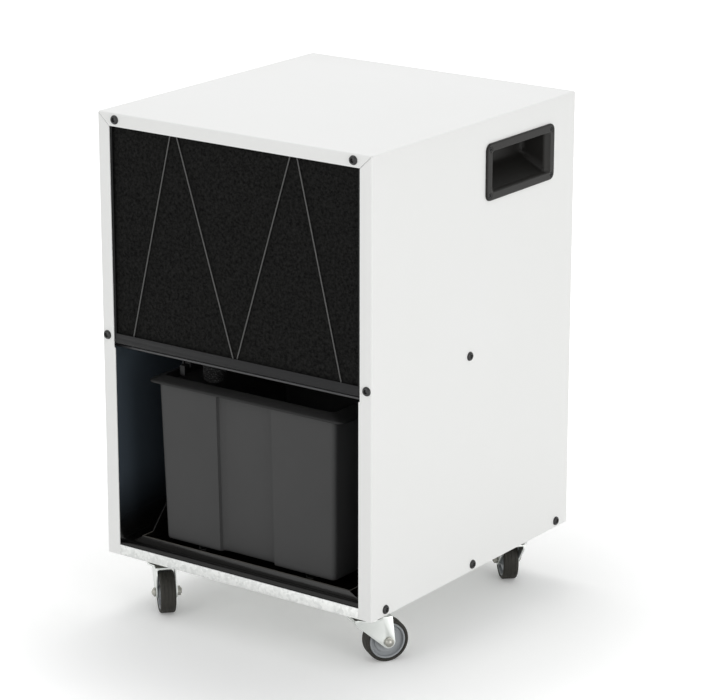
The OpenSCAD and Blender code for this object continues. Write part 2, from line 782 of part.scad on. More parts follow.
module drain_sleeve() color([0.2, 0.2, 0.2]) intersection() {
    sleeve_l = (shelf_z - sleeve_z - sleeve_d / 2 * sin(sleeve_lean)) / cos(sleeve_lean);
    translate([hose_x, hose_y, shelf_z]) rotate([0, sleeve_lean, 0]) difference() {
        translate([0, 0, -sleeve_l]) cylinder(d = sleeve_d, h = sleeve_l + 6);
        translate([0, 0, -sleeve_l - e]) cylinder(d = spout_d + 5, h = sleeve_l + 8);
    }
    box([hose_x - 40, hose_y - 40, sleeve_z - 1],
        [hose_x + 40, hose_y + 40, shelf_z - seat_gap]);
}

float_x = -118;
float_y = front_y + 52;
lever_z = sleeve_z + 14;

// A small switch hung under the shelf, with two ears for the lever's pin
module float_switch() color([0.16, 0.16, 0.17]) difference() {
    union() {
        box([float_x - 7, float_y + 6, lever_z - 4], [float_x + 7, float_y + 30, shelf_z]);
        for (s = [-1, 1]) box([float_x + s * 6 - 1, float_y - 5, lever_z - 4],
            [float_x + s * 6 + 1, float_y + 7, lever_z + 8]);
    }
    translate([float_x - 8, float_y, lever_z]) rotate([0, 90, 0])
        cylinder(d = 3 + 2 * run_gap, h = 16);
}

// The tank-full lever: a pin, a boss and a paddle that hangs over the tank
module float_lever() color([0.3, 0.3, 0.31]) {
    translate([float_x - 7.5, float_y, lever_z]) rotate([0, 90, 0])
        cylinder(d = 3, h = 15);
    translate([float_x - 4, float_y, lever_z]) rotate([0, 90, 0]) cylinder(d = 7, h = 8);
    box([float_x - 4, float_y - 14, lever_z - 2], [float_x + 4, float_y, lever_z]);
    box([float_x - 4, float_y - 14, sleeve_z], [float_x + 4, float_y - 11, lever_z]);
}

// ---------------------------------------------------------------- cooling circuit

module drip_tray() color([0.22, 0.22, 0.23]) difference() {
    low_y = mat_back + 2;
    high_y = front_y + condenser_y + condenser_t + 4;
    half = coil_w / 2 + 12;
    box([-half, low_y, shelf_top], [half, high_y, coil_z + 6]);
    box([-half + 2, low_y + 2, drip_z], [half - 2, high_y - 2, coil_z + 7]);
    translate([hose_x, hose_y, shelf_top - e]) cylinder(d = spout_d + 2 * seat_gap, h = 10);
}

// A finned block: upright fins on a thin core, held between two end plates
module fin_block(y, t) {
    count = floor(coil_w / fin_pitch);
    pitch = coil_w / count;
    z0 = coil_z - 4;
    for (i = [0:count]) box([-coil_w / 2 + i * pitch - 0.4, y, z0],
        [-coil_w / 2 + i * pitch + 0.4, y + t, z0 + coil_h]);
    box([-coil_w / 2, y + t / 2 - 1, z0], [coil_w / 2, y + t / 2 + 1, z0 + coil_h]);
    for (s = [-1, 1]) box([s * coil_w / 2 - 0.9, y - 1, drip_z],
        [s * coil_w / 2 + 0.9, y + t + 1, z0 + coil_h + 2]);
}

// Heights of the tube rows through the fins
rows = 8;
function row_z(i) = coil_z - 4 + coil_h * (i + 0.5) / rows;

// Bores for the tubes, right through a block
module tube_bores(y) for (i = [0:rows - 1])
    translate([-side_x, y, row_z(i)]) rotate([0, 90, 0]) cylinder(d = tube_d + 0.2, h = cover_w);

evaporator_mid = front_y + evaporator_y + evaporator_t / 2;
condenser_mid = front_y + condenser_y + condenser_t / 2;

module evaporator_fins() color([0.8, 0.81, 0.82]) difference() {
    fin_block(front_y + evaporator_y, evaporator_t);
    tube_bores(evaporator_mid);
}

module condenser_fins() color([0.72, 0.73, 0.74]) difference() {
    fin_block(front_y + condenser_y, condenser_t);
    tube_bores(condenser_mid);
}

// The serpentine tubes: straight runs joined by return bends outside the end plates
module coil_tubes() color([0.72, 0.45, 0.3]) {
    reach = tube_end_x;
    for (y = [evaporator_mid, condenser_mid]) {
        for (i = [0:rows - 1]) translate([-reach, y, row_z(i)]) rotate([0, 90, 0])
            cylinder(d = tube_d, h = 2 * reach);
        for (i = [0:rows - 2]) {
            s = i % 2 == 0 ? -1 : 1;
            for (k = [0, 1]) translate([s * reach, y, row_z(i + k)])
                sphere(d = tube_d + elbow_extra);
            translate([s * reach, y, row_z(i)]) cylinder(d = tube_d, h = coil_h / rows);
        }
    }
}

foot_bolt_d = 8;
foot_reach = compressor_d / 2 + 4;

// The three feet of the compressor, by angle
module compressor_bolt_positions() for (a = [90, 210, 330])
    translate([compressor_x + foot_reach * cos(a), compressor_y + foot_reach * sin(a), 0])
        children();

module compressor() color([0.13, 0.13, 0.13]) difference() {
    union() {
        translate([compressor_x, compressor_y, compressor_z]) rotate_extrude() {
            r = compressor_d / 2;
            bend = 26;
            square([r - bend, compressor_h]);
            translate([0, bend]) square([r, compressor_h - 2 * bend]);
            for (z = [bend, compressor_h - bend]) intersection() {
                translate([r - bend, z]) circle(bend);
                square([r, compressor_h]);
            }
        }
        // the weld seam, the feet and the terminal cover
        translate([compressor_x, compressor_y, compressor_z + compressor_h * 0.62])
            cylinder(d = compressor_d + 3, h = 4);
        compressor_bolt_positions() translate([0, 0, compressor_z]) cylinder(d = 26, h = 3);
        translate([compressor_x, compressor_y, compressor_z])
            cylinder(r = foot_reach - 6, h = 3);
        box([compressor_x - compressor_d / 2 - 14, compressor_y - 20, compressor_z + 80],
            [compressor_x, compressor_y + 20, compressor_z + 130]);
    }
    compressor_bolt_positions() translate([0, 0, compressor_z - e])
        cylinder(d = foot_bolt_d + 6, h = 3 + 2 * e);
    translate([compressor_x, compressor_y - suction_off, shell_top - pipe_in])
        cylinder(d = tube_d + 0.2, h = 40);
    translate([compressor_x + discharge_off, compressor_y, shell_top - pipe_in])
        cylinder(d = tube_d - 0.8, h = 40);
}

module compressor_feet() color([0.1, 0.1, 0.1]) compressor_bolt_positions()
    difference() {
        union() {
            translate([0, 0, pan_top_z]) cylinder(d = 24, h = compressor_z - pan_top_z);
            translate([0, 0, compressor_z - e]) cylinder(d = foot_bolt_d + 5.6, h = 5);
        }
        translate([0, 0, pan_top_z - e]) cylinder(d = foot_bolt_d + 0.4, h = 40);
    }

module compressor_bolts() color([0.75, 0.75, 0.74]) compressor_bolt_positions() {
    top = compressor_z + 5 + e;
    translate([0, 0, low_z - 5]) cylinder(d = foot_bolt_d, h = top + 12 - low_z);
    translate([0, 0, low_z - 4]) cylinder(d = 13, h = 4, $fn = 6);
    translate([0, 0, top]) cylinder(d = 18, h = 1.4);
    translate([0, 0, top + 1.4]) cylinder(d = 13, h = 5, $fn = 6);
}

// The lines run upward through a slot in the shelf and forward beside the fan's wall
pipe_x = side_x - 75;
pipe_y = front_y + bay_d + 40;
beside_x = tube_end_x + tube_d;    // past the ends of the coils' tubes
shell_top = compressor_z + compressor_h;
pipe_in = 12;                      // how far the tubes go into the compressor's shell
suction_off = 30;
discharge_off = 32;
suction_x = pipe_x - 16;
suction_z = coil_z + coil_h + 16;  // over the coils
discharge_x = pipe_x + 16;
discharge_z = handle_mid_z - handle_h / 2 - 40;
thin_d = 5;                        // the liquid side's tubes
liquid_z = row_z(0);
capillary_z = liquid_z + 24;
capillary_x = beside_x + thin_d + 1;

module suction_line() color([0.72, 0.45, 0.3]) bent_tube([
    [compressor_x, compressor_y - suction_off, shell_top - pipe_in],
    [compressor_x, compressor_y - suction_off, shell_top + 14],
    [suction_x, pipe_y, shell_top + 14],
    [suction_x, pipe_y, suction_z],
    [suction_x, evaporator_mid, suction_z],
    [beside_x, evaporator_mid, suction_z],
    [beside_x, evaporator_mid, row_z(rows - 1)],
    [tube_end_x, evaporator_mid, row_z(rows - 1)]
], tube_d);

module discharge_line() color([0.7, 0.43, 0.28]) bent_tube([
    [compressor_x + discharge_off, compressor_y, shell_top - pipe_in],
    [compressor_x + discharge_off, compressor_y, shell_top + 28],
    [discharge_x, pipe_y, shell_top + 28],
    [discharge_x, pipe_y, discharge_z],
    [beside_x, pipe_y, discharge_z],
    [beside_x, condenser_mid, discharge_z],
    [beside_x, condenser_mid, row_z(rows - 1)],
    [tube_end_x, condenser_mid, row_z(rows - 1)]
], tube_d - 1);

// The liquid side: down from the condenser to the drier, and the capillary back up
module liquid_line() color([0.75, 0.5, 0.33]) {
    drier_x = pipe_x + 28;
    drier_y = pipe_y + 6;
    drier_z = shelf_z - 150;
    capillary_y = pipe_y - 8;
    translate([drier_x, drier_y, drier_z]) cylinder(d = 22, h = 60);
    for (up = [0, 1]) translate([drier_x, drier_y, drier_z + up * 60])
        mirror([0, 0, 1 - up]) translate([0, 0, -e]) cylinder(d1 = 22, d2 = 8, h = 10);
    bent_tube([
        [tube_end_x, condenser_mid, liquid_z],
        [beside_x, condenser_mid, liquid_z],
        [beside_x, drier_y, liquid_z],
        [drier_x, drier_y, liquid_z],
        [drier_x, drier_y, drier_z + 66]
    ], thin_d);
    bent_tube([
        [drier_x, drier_y, drier_z - 8],
        [drier_x, drier_y, drier_z - 22],
        [drier_x, capillary_y, drier_z - 22],
        [drier_x, capillary_y, capillary_z],
        [capillary_x, capillary_y, capillary_z],
        [capillary_x, evaporator_mid, capillary_z],
        [capillary_x, evaporator_mid, liquid_z],
        [tube_end_x, evaporator_mid, liquid_z]
    ], thin_d - 1.5);
}

// Where the lines pass the fan's wall, as x and z
line_holes = [
    [suction_x, suction_z], [beside_x, discharge_z], [beside_x, liquid_z],
    [capillary_x, capillary_z]
];

// ---------------------------------------------------------------- fan

// The fan's wall with its bell mouth, and four arms that hold the motor
module fan_shroud() color([0.74, 0.75, 0.74]) {
    y = front_y + shroud_y;
    half = shelf_x - shelf_t - seat_gap;
    ring_r = fan_d / 2 + 4;
    difference() {
        union() {
            upright_plate(y, 1.5)
                translate([-half, shelf_top])
                    square([2 * half, top_z - sheet - seat_gap - shelf_top]);
            translate([0, y, fan_mid_z]) rotate([-90, 0, 0]) cylinder(r = ring_r + 2, h = 44);
        }
        translate([0, y - 1, fan_mid_z]) rotate([-90, 0, 0]) cylinder(r = ring_r, h = 60);
        for (p = line_holes) translate([p[0], y - 1, p[1]]) rotate([-90, 0, 0])
            cylinder(d = tube_d + 1, h = 4);
    }
    for (a = [45, 135, 225, 315]) translate([0, motor_y + 12, fan_mid_z]) rotate([0, a, 0]) {
        box([motor_d / 2 + 0.3, 0, -5], [ring_r + 1, 3, 5]);
        box([ring_r - 1, y - motor_y - 12, -5], [ring_r + 2, 3, 5]);
    }
    translate([0, motor_y + 12, fan_mid_z]) rotate([-90, 0, 0]) difference() {
        cylinder(d = motor_d + 5, h = 12);
        translate([0, 0, -e]) cylinder(d = motor_d + 0.2, h = 12 + 2 * e);
    }
}

module fan_motor() color([0.25, 0.26, 0.27]) translate([0, motor_y, fan_mid_z])
    rotate([-90, 0, 0]) difference() {
        union() {
            cylinder(d = motor_d, h = motor_l);
            translate([0, 0, -6]) cylinder(d = 26, h = 7);
            translate([0, 0, motor_l - e]) cylinder(d = 30, h = 6);
        }
        translate([0, 0, -7]) cylinder(d = shaft_d + 2 * run_gap, h = motor_l);
    }

module fan_wheel() color([0.18, 0.18, 0.19]) translate([0, fan_y, fan_mid_z])
    rotate([-90, 0, 0]) {
        difference() {
            cylinder(d = 74, h = 34, center = true);
            translate([0, 0, -14]) cylinder(d = 66, h = 40);
        }
        cylinder(d = 18, h = 28, center = true);
        translate([0, 0, -10]) cylinder(d = shaft_d, h = motor_y - fan_y + motor_l / 2);
        // pitched blades, trimmed by a ring
        intersection() {
            difference() {
                cylinder(d = fan_d, h = 40, center = true);
                cylinder(d = 70, h = 50, center = true);
            }
            for (i = [0:fan_blades - 1]) rotate([0, 0, i * 360 / fan_blades + 18])
                rotate([28, 0, 0]) translate([30, -34, -1]) cube([fan_d / 2, 68, 2]);
        }
    }

module capacitor_positions() translate([75 - side_x, front_y + bay_d + 34, 0]) children();

module capacitor() color([0.82, 0.82, 0.8]) capacitor_positions() {
    translate([0, 0, shelf_top]) cylinder(d = 36, h = 72);
    translate([0, 0, shelf_z - 7]) cylinder(d = 8, h = 10);
    translate([0, 0, shelf_z - 6]) cylinder(d = 15, h = 6 - e, $fn = 6);
    for (s = [-1, 1]) translate([s * 8, -1, shelf_top + 72 - e]) cube([1, 6, 9]);
}

// ---------------------------------------------------------------- handles

// The four screws of each bezel, on both sides of the cover
module handle_screw_positions() for (sx = [-1, 1], sy = [-1, 1], sz = [-1, 1])
    translate([sx * side_x, handle_mid_y + sy * (handle_l / 2 - bezel_screw_in),
        handle_mid_z + sz * (handle_h / 2 - bezel_screw_in)]) children();

// A recessed grip: bezel outside the sheet, cup inside it, its floor sloped for the hand
module handle_cup() difference() {
    open_l = handle_l - 2 * bezel_w;
    open_h = handle_h - 2 * bezel_w;
    cup_l = open_l + 2 * cup_wall;
    cup_h = open_h + 2 * cup_wall;
    union() {
        side_plate(side_x, bezel_t) translate([handle_mid_y, handle_mid_z])
            rounded_rect(handle_l, handle_h, 9);
        box([side_x - cup_d, handle_mid_y - cup_l / 2, handle_mid_z - cup_h / 2],
            [side_x + e, handle_mid_y + cup_l / 2, handle_mid_z + cup_h / 2]);
        box([side_x - cup_d, handle_mid_y - cup_l / 2, handle_mid_z],
            [side_x - sheet - seat_gap, handle_mid_y + cup_l / 2,
                handle_mid_z + cup_h / 2 + finger_room]);
    }
    // the hand hole
    box([side_x - cup_d + cup_wall, handle_mid_y - open_l / 2, handle_mid_z - open_h / 2],
        [side_x + bezel_t + e, handle_mid_y + open_l / 2, handle_mid_z + open_h / 2]);
    // the room for the fingers behind the upper lip
    box([side_x - cup_d + cup_wall, handle_mid_y - open_l / 2, handle_mid_z],
        [side_x - 10, handle_mid_y + open_l / 2, handle_mid_z + open_h / 2 + finger_room]);
    for (sy = [-1, 1], sz = [-1, 1])
        translate([side_x - 1, handle_mid_y + sy * (handle_l / 2 - bezel_screw_in),
            handle_mid_z + sz * (handle_h / 2 - bezel_screw_in)]) rotate([0, 90, 0]) {
            cylinder(d = 3.4, h = bezel_t + 2);
            translate([0, 0, 2.6]) cylinder(d = 7.2, h = 3);
        }
}

module handle_right() color([0.2, 0.2, 0.2]) handle_cup();
module handle_left() color([0.2, 0.2, 0.2]) mirror([1, 0, 0]) handle_cup();

module handle_screws() color([0.12, 0.12, 0.12]) {
    for (sx = [0, 1]) mirror([sx, 0, 0]) for (sy = [-1, 1], sz = [-1, 1])
        translate([side_x, handle_mid_y + sy * (handle_l / 2 - bezel_screw_in),
            handle_mid_z + sz * (handle_h / 2 - bezel_screw_in)]) rotate([0, 90, 0])
            difference() {
                union() {
                    translate([0, 0, 1.7]) cylinder(d = 6.6, h = 1.3);
                    translate([0, 0, -7]) cylinder(d = 3, h = 9);
                }
                translate([0, 0, 2.4]) for (a = [0, 90]) rotate([0, 0, a])
                    cube([4, 0.9, 1.3], center = true);
            }
}

// ---------------------------------------------------------------- back

module rear_panel() color([0.92, 0.92, 0.91]) difference() {
    x = side_x - sheet - 3 * seat_gap;
    box([-x, back_panel_y, low_z + pan_lip + seat_gap],
        [x, back_panel_y + back_panel_t, under_bend_z]);
    translate([0, 0, grille_mid_z])
        box([-grille_w / 2 + 8, back_panel_y - e, -grille_h / 2 + 8],
            [grille_w / 2 - 8, back_panel_y + back_panel_t + e, grille_h / 2 - 8]);
    translate([panel_mid_x, 0, panel_mid_z])
        box([-panel_w / 2 - e, back_panel_y - e, -panel_h / 2 - e],
            [panel_w / 2 + e, back_panel_y + back_panel_t + e, panel_h / 2 + e]);
    screw_holes(back_panel_y, back_panel_t);
}

// A black steel louvre: a frame and slats that throw the air upward
module outlet_grille() color([0.16, 0.16, 0.17]) {
    y0 = back_panel_y + back_panel_t;
    t = sheet + seat_gap;
    difference() {
        box([-grille_w / 2, y0, grille_mid_z - grille_h / 2],
            [grille_w / 2, y0 + t, grille_mid_z + grille_h / 2]);
        box([-grille_w / 2 + 9, y0 - e, grille_mid_z - grille_h / 2 + 9],
            [grille_w / 2 - 9, y0 + t + e, grille_mid_z + grille_h / 2 - 9]);
    }
    step = (grille_h - 18) / slats;
    for (i = [0:slats - 1])
        translate([0, y0 - 6, grille_mid_z - grille_h / 2 + 9 + step * (i + 0.5)])
            rotate([35, 0, 0])
                cube([grille_w - 17.6, step * 1.0, 1.2], center = true);
    for (x = [-grille_w / 2 + 8.4, -1, grille_w / 2 - 10.4])
        box([x, y0 - 13, grille_mid_z - grille_h / 2 + 8.2],
            [x + 2, y0 + e, grille_mid_z + grille_h / 2 - 8.2]);
}

// The recess that holds the controls, with a flange on the panel's inner side
module control_panel() color([0.15, 0.15, 0.16]) difference() {
    mouth_y = back_panel_y + back_panel_t;
    inner_w = panel_w - 2 * panel_wall;
    inner_h = panel_h - 2 * panel_wall;
    translate([panel_mid_x, 0, panel_mid_z]) difference() {
        union() {
            box([-panel_w / 2 + seat_gap, panel_floor_y, -panel_h / 2 + seat_gap],
                [panel_w / 2 - seat_gap, mouth_y, panel_h / 2 - seat_gap]);
            box([-panel_w / 2 - 6, back_panel_y - 2, -panel_h / 2 - 6],
                [panel_w / 2 + 6, back_panel_y - seat_gap / 2, panel_h / 2 + 6]);
        }
        box([-inner_w / 2, panel_floor_y + panel_wall + 1, -inner_h / 2],
            [inner_w / 2, mouth_y + 2, inner_h / 2]);
    }
    translate([knob_x, panel_floor_y - e, panel_mid_z + 8]) rotate([-90, 0, 0])
        cylinder(d = 6 + 2 * run_gap, h = 10);
    box([rocker_x - rocker_w / 2, panel_floor_y - e, panel_mid_z + 8 - rocker_h / 2],
        [rocker_x + rocker_w / 2, panel_floor_y + 10, panel_mid_z + 8 + rocker_h / 2]);
    translate([lamp_x, panel_floor_y - e, panel_mid_z + 20]) rotate([-90, 0, 0])
        cylinder(d = 8.2, h = 10);
    box([counter_x - 17, panel_floor_y - e, panel_mid_z + 8],
        [counter_x + 17, panel_floor_y + 10, panel_mid_z + 26]);
    translate([gland_x, panel_floor_y - e, panel_mid_z - 22]) rotate([-90, 0, 0])
        cylinder(d = 16.2, h = 10);
}

panel_face_y = panel_floor_y + panel_wall + 1;

module humidity_knob() color([0.12, 0.12, 0.12])
    translate([knob_x, panel_face_y + 0.3, panel_mid_z + 8]) rotate([-90, 0, 0]) {
        difference() {
            union() {
                cylinder(d = knob_d, h = 4);
                translate([0, 0, 3]) cylinder(d = knob_d - 6, h = 9);
            }
            for (a = [0:30:330]) rotate([0, 0, a])
                translate([knob_d / 2 - 2.2, 0, 4.2]) cylinder(d = 3.4, h = 9);
        }
        translate([-1.5, -knob_d / 2 + 4, 11.6]) cube([3, knob_d / 2, 1.6]);
        translate([0, 0, -14]) cylinder(d = 6, h = 16);
        translate([0, 0, -14]) cylinder(d = 9, h = 3);
    }

module switch_frame() color([0.1, 0.1, 0.1]) difference() {
    inner_w = rocker_w - 3;
    inner_h = rocker_h - 3;
    translate([rocker_x, 0, panel_mid_z + 8]) union() {
        box([-rocker_w / 2 - 2, panel_face_y, -rocker_h / 2 - 2],
            [rocker_w / 2 + 2, panel_face_y + 1.6, rocker_h / 2 + 2]);
        box([-rocker_w / 2 + 0.1, panel_floor_y - 16, -rocker_h / 2 + 0.1],
            [rocker_w / 2 - 0.1, panel_face_y + 0.2, rocker_h / 2 - 0.1]);
    }
    translate([rocker_x, 0, panel_mid_z + 8])
        box([-inner_w / 2, panel_floor_y - 12, -inner_h / 2],
            [inner_w / 2, panel_face_y + 2, inner_h / 2]);
    translate([rocker_x - rocker_w / 2 - e, rocker_y, panel_mid_z + 8]) rotate([0, 90, 0])
        cylinder(d = 3 + 2 * run_gap, h = rocker_w + 2 * e);
}

rocker_y = panel_face_y - 3;
rocker_tilt = 7;

// The rocker turns on a pin across its frame; at rest its upper half stands out
module rocker() color([0.5, 0.08, 0.06]) translate([rocker_x, rocker_y, panel_mid_z + 8]) {
    half_w = rocker_w / 2 - 1.9;
    half_h = rocker_h / 2 - 2.5;
    side_plate(-half_w, 2 * half_w) rotate(-rocker_tilt) polygon([
        [-3, -half_h * 0.6], [4.7, -half_h], [3.6, 0], [4.7, half_h], [-3, half_h * 0.6]
    ]);
    translate([-rocker_w / 2 + 0.3, 0, 0]) rotate([0, 90, 0])
        cylinder(d = 3, h = rocker_w - 0.6);
}

module tank_lamp() color([0.9, 0.35, 0.1])
    translate([lamp_x, panel_floor_y - 8, panel_mid_z + 20]) rotate([-90, 0, 0]) {
        cylinder(d = 7.8, h = 8 + panel_wall + 1);
        translate([0, 0, 8 + panel_wall + 1]) dome(10, 3.4);
    }

module hour_counter() color([0.2, 0.2, 0.2]) difference() {
    mid_z = panel_mid_z + 17;
    union() {
        box([counter_x - 16.8, panel_floor_y - 20, mid_z - 8.8],
            [counter_x + 16.8, panel_face_y, mid_z + 8.8]);
        box([counter_x - 19, panel_face_y, mid_z - 11],
            [counter_x + 19, panel_face_y + 1.6, mid_z + 11]);
    }
    box([counter_x - 14, panel_face_y + 0.8, mid_z - 5],
        [counter_x + 14, panel_face_y + 2, mid_z + 5]);
}

// The cord's gland, without a cord: a body, a flange nut and a clamping nut
module cable_gland() color([0.14, 0.14, 0.14])
    translate([gland_x, panel_floor_y - 12, panel_mid_z - 22]) rotate([-90, 0, 0])
        difference() {
            wall = 12 + panel_wall + 1;
            union() {
                cylinder(d = 16, h = wall + 3);
                translate([0, 0, wall]) cylinder(d = 22, h = 5, $fn = 6);
                translate([0, 0, wall + 5 - e]) cylinder(d = 19, h = 8);
                translate([0, 0, 6]) cylinder(d = 22, h = 6 - e, $fn = 6);
            }
            translate([0, 0, -e]) cylinder(d = 9, h = 40);
        }

// ---------------------------------------------------------------- the nodes

outer_cover();
cover_screws();
base_pan();
caster_plates();
caster_bolts();
fork(casters[0]);  // fork_front_right
fork(casters[1]);  // fork_front_left
fork(casters[2]);  // fork_rear_right
fork(casters[3]);  // fork_rear_left
axle(casters[0]);  // axle_front_right
axle(casters[1]);  // axle_front_left
axle(casters[2]);  // axle_rear_right
axle(casters[3]);  // axle_rear_left
hub(casters[0]);  // hub_front_right
hub(casters[1]);  // hub_front_left
hub(casters[2]);  // hub_rear_right
hub(casters[3]);  // hub_rear_left
tyre(casters[0]);  // tyre_front_right
tyre(casters[1]);  // tyre_front_left
tyre(casters[2]);  // tyre_rear_right
tyre(casters[3]);  // tyre_rear_left
bay_liner();
tank_tray();
tank();
shelf();
filter_rail();
filter_frame();
filter_mat();
filter_wire();
drain_spout();
drain_sleeve();
float_switch();
float_lever();
drip_tray();
evaporator_fins();
condenser_fins();
coil_tubes();
fan_shroud();
fan_motor();
fan_wheel();
capacitor();
compressor();
compressor_feet();
compressor_bolts();
suction_line();
discharge_line();
liquid_line();
handle_right();
handle_left();
handle_screws();
rear_panel();
outlet_grille();
control_panel();
humidity_knob();
switch_frame();
rocker();
tank_lamp();
hour_counter();
cable_gland();
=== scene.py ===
# %% [markdown]
# # A workshop dehumidifier, from frame to finish
#
# The machine is a box of folded sheet steel on four swivel casters. Air is drawn in through a
# black fleece at the front, dried on a cold coil, warmed again and blown out of the back, and the
# water drips into a plastic tank that slides out of an open bay below the fleece.
#
# The engineering model is loaded first and never moved. Every piece made here is put in its place
# by reading that model, and takes over the look of the part that it stands for.

# %% Load the engineering model
import json
import bmesh
import bpy
import numpy as np
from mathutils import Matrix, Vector

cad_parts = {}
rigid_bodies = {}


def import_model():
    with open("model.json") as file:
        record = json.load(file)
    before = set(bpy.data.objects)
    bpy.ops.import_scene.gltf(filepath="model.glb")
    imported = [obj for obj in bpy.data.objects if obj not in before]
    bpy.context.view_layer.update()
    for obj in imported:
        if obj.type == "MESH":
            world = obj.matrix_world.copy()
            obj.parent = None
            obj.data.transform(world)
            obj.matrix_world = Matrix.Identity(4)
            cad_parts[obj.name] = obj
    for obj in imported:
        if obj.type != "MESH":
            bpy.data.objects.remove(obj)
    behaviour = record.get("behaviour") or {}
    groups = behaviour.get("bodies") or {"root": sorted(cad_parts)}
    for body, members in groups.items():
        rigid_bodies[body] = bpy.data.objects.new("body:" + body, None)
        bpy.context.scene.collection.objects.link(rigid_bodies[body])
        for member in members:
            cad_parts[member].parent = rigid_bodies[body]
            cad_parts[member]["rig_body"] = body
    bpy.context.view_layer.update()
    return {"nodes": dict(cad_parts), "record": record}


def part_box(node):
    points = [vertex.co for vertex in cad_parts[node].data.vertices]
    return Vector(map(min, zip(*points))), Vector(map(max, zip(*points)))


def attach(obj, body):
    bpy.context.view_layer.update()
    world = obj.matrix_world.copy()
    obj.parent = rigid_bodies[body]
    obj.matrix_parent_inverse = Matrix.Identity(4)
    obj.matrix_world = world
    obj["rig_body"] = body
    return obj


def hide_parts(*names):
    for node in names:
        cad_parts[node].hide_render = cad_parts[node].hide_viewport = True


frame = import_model()
MM = 0.001
scene = bpy.context.scene


def span(node):
    """The lowest and the highest corner of an engineering part, in millimetres."""
    low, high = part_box(node)
    return np.array(low) / MM, np.array(high) / MM


cover_low, cover_high = span("outer_cover")
side_x = cover_high[0]
front_y, back_y = cover_low[1], cover_high[1]
low_z, top_z = cover_low[2], cover_high[2]
print("housing, mm:", np.round(cover_high - cover_low, 1))

# %% [markdown]
# ## The camera
#
# A long lens from far away keeps the tall box from looking pinched. The camera is described by
# the point it looks at, how far off it stands, how far round to the right and how high. Its
# direction is then turned into a rotation by Blender's own track helper.

# %% Camera
aim = Vector((15.3, 11.1, 360.2)) * MM
distance = 4244 * MM
azimuth, elevation = np.radians(35.93), np.radians(16.98)
away = Vector((np.sin(azimuth) * np.cos(elevation), -np.cos(azimuth) * np.cos(elevation),
               np.sin(elevation)))
camera = bpy.data.objects.new("Camera", bpy.data.cameras.new("Camera"))
camera.location = aim + distance * away
camera.rotation_euler = (-away).to_track_quat("-Z", "Y").to_euler()
camera.data.sensor_width = 36
camera.data.lens = 156.1
camera.data.clip_end = 100
scene.collection.objects.link(camera)
scene.camera = camera
print("camera at, mm:", [round(v / MM) for v in camera.location])

# %% [markdown]
# ## Nodes and colours
#
# A finish is a small network of nodes. One function adds any node, sets its values and joins it
# to others. A finish starts with one Principled shader, and hands out two short forms: one adds
# a node and may join it to the shader, and one lets a pattern drive the colour, the roughness or
# the bump. Nearly every real surface varies in just these three ways.


# %% Colours and nodes
def linear(code):
    """An sRGB hex colour as linear light: the standard curve, one channel at a time."""
    value = np.array([int(code[k:k + 2], 16) for k in (1, 3, 5)]) / 255
    value = np.where(value <= 0.04045, value / 12.92, ((value + 0.055) / 1.055) ** 2.4)
    return (*value.tolist(), 1.0)


def add_node(tree, kind, values=None, links=None, **settings):
    """Adds one shader node, sets its properties and sockets, and joins its sockets to others.
    A link names either a socket or a node, and a node stands for its first output."""
    made = tree.nodes.new("ShaderNode" + kind)
    for key, value in settings.items():
        setattr(made, key, value)
    for key, value in (values or {}).items():
        made.inputs[key].default_value = value
    for key, source in (links or {}).items():
        tree.links.new(source.outputs[0] if hasattr(source, "outputs") else source, made.inputs[key])
    return made


def per(size):
    """The texture scale at which one cell of a pattern is this many millimetres wide."""
    return 1 / (size * MM)


print("mid grey in linear light:", np.round(linear("#808080")[:3], 3))

# %% The start of every finish
# Sockets of the Mix node when it mixes colours
MIX_FACTOR, MIX_A, MIX_B, MIX_OUT = 0, 6, 7, 2


def new_finish(name, colour, roughness, metallic=0.0, ior=1.5, more=None):
    """A material with one Principled shader; returns it, its coordinates, add and drive."""
    made = bpy.data.materials.new(name)
    made.use_nodes = True
    tree = made.node_tree
    tree.nodes.clear()
    sockets = {"Base Color": linear(colour), "Roughness": roughness, "Metallic": metallic, "IOR": ior}
    shader = add_node(tree, "BsdfPrincipled", {**sockets, **(more or {})})
    add_node(tree, "OutputMaterial", links={"Surface": shader})

    def add(kind, values=None, links=None, to=None, out=0, **settings):
        """Adds a node here; its output goes to the shader's socket of the given name."""
        node = add_node(tree, kind, values, links, **settings)
        if to:
            tree.links.new(node.outputs[out], shader.inputs[to])
        return node

    def drive(pattern, tint=None, rough=None, bump=None):
        """A pattern from 0 to 1 blends two hex colours, blends two roughnesses, and lifts the
        surface by (strength, metres)."""
        if tint:
            add("Mix", {MIX_A: linear(tint[0]), MIX_B: linear(tint[1])}, {MIX_FACTOR: pattern},
                to="Base Color", out=MIX_OUT, data_type="RGBA")
        if rough:
            add("MapRange", {"To Min": rough[0], "To Max": rough[1]}, {"Value": pattern},
                to="Roughness")
        if bump:
            add("Bump", {"Strength": bump[0], "Distance": bump[1]}, {"Height": pattern}, to="Normal")

    return made, add_node(tree, "TexCoord").outputs["Object"], add, drive


print("texture scale of a 10 mm pattern:", round(per(10)))

# %% [markdown]
# ## Light and floor
#
# A studio sweep: an even pale surround and three soft square lamps, one overhead, one far out to
# the right and one in front on the left, so that the top is brightest, the side next, and the
# front a little greyer. The surround and the floor look white to the camera, but send only their
# own plain light to the object, so the white paint keeps its tone and doesn't burn out.


# %% World and lamps
def looked_at(tree):
    """1 for a camera, glossy or transmission ray, so that metal and glass see the white too."""
    rays = add_node(tree, "LightPath")
    seen = rays.outputs["Is Camera Ray"]
    for kind in ("Is Glossy Ray", "Is Transmission Ray"):
        seen = add_node(tree, "Math", links={0: seen, 1: rays.outputs[kind]},
                        operation="MAXIMUM").outputs[0]
    return seen


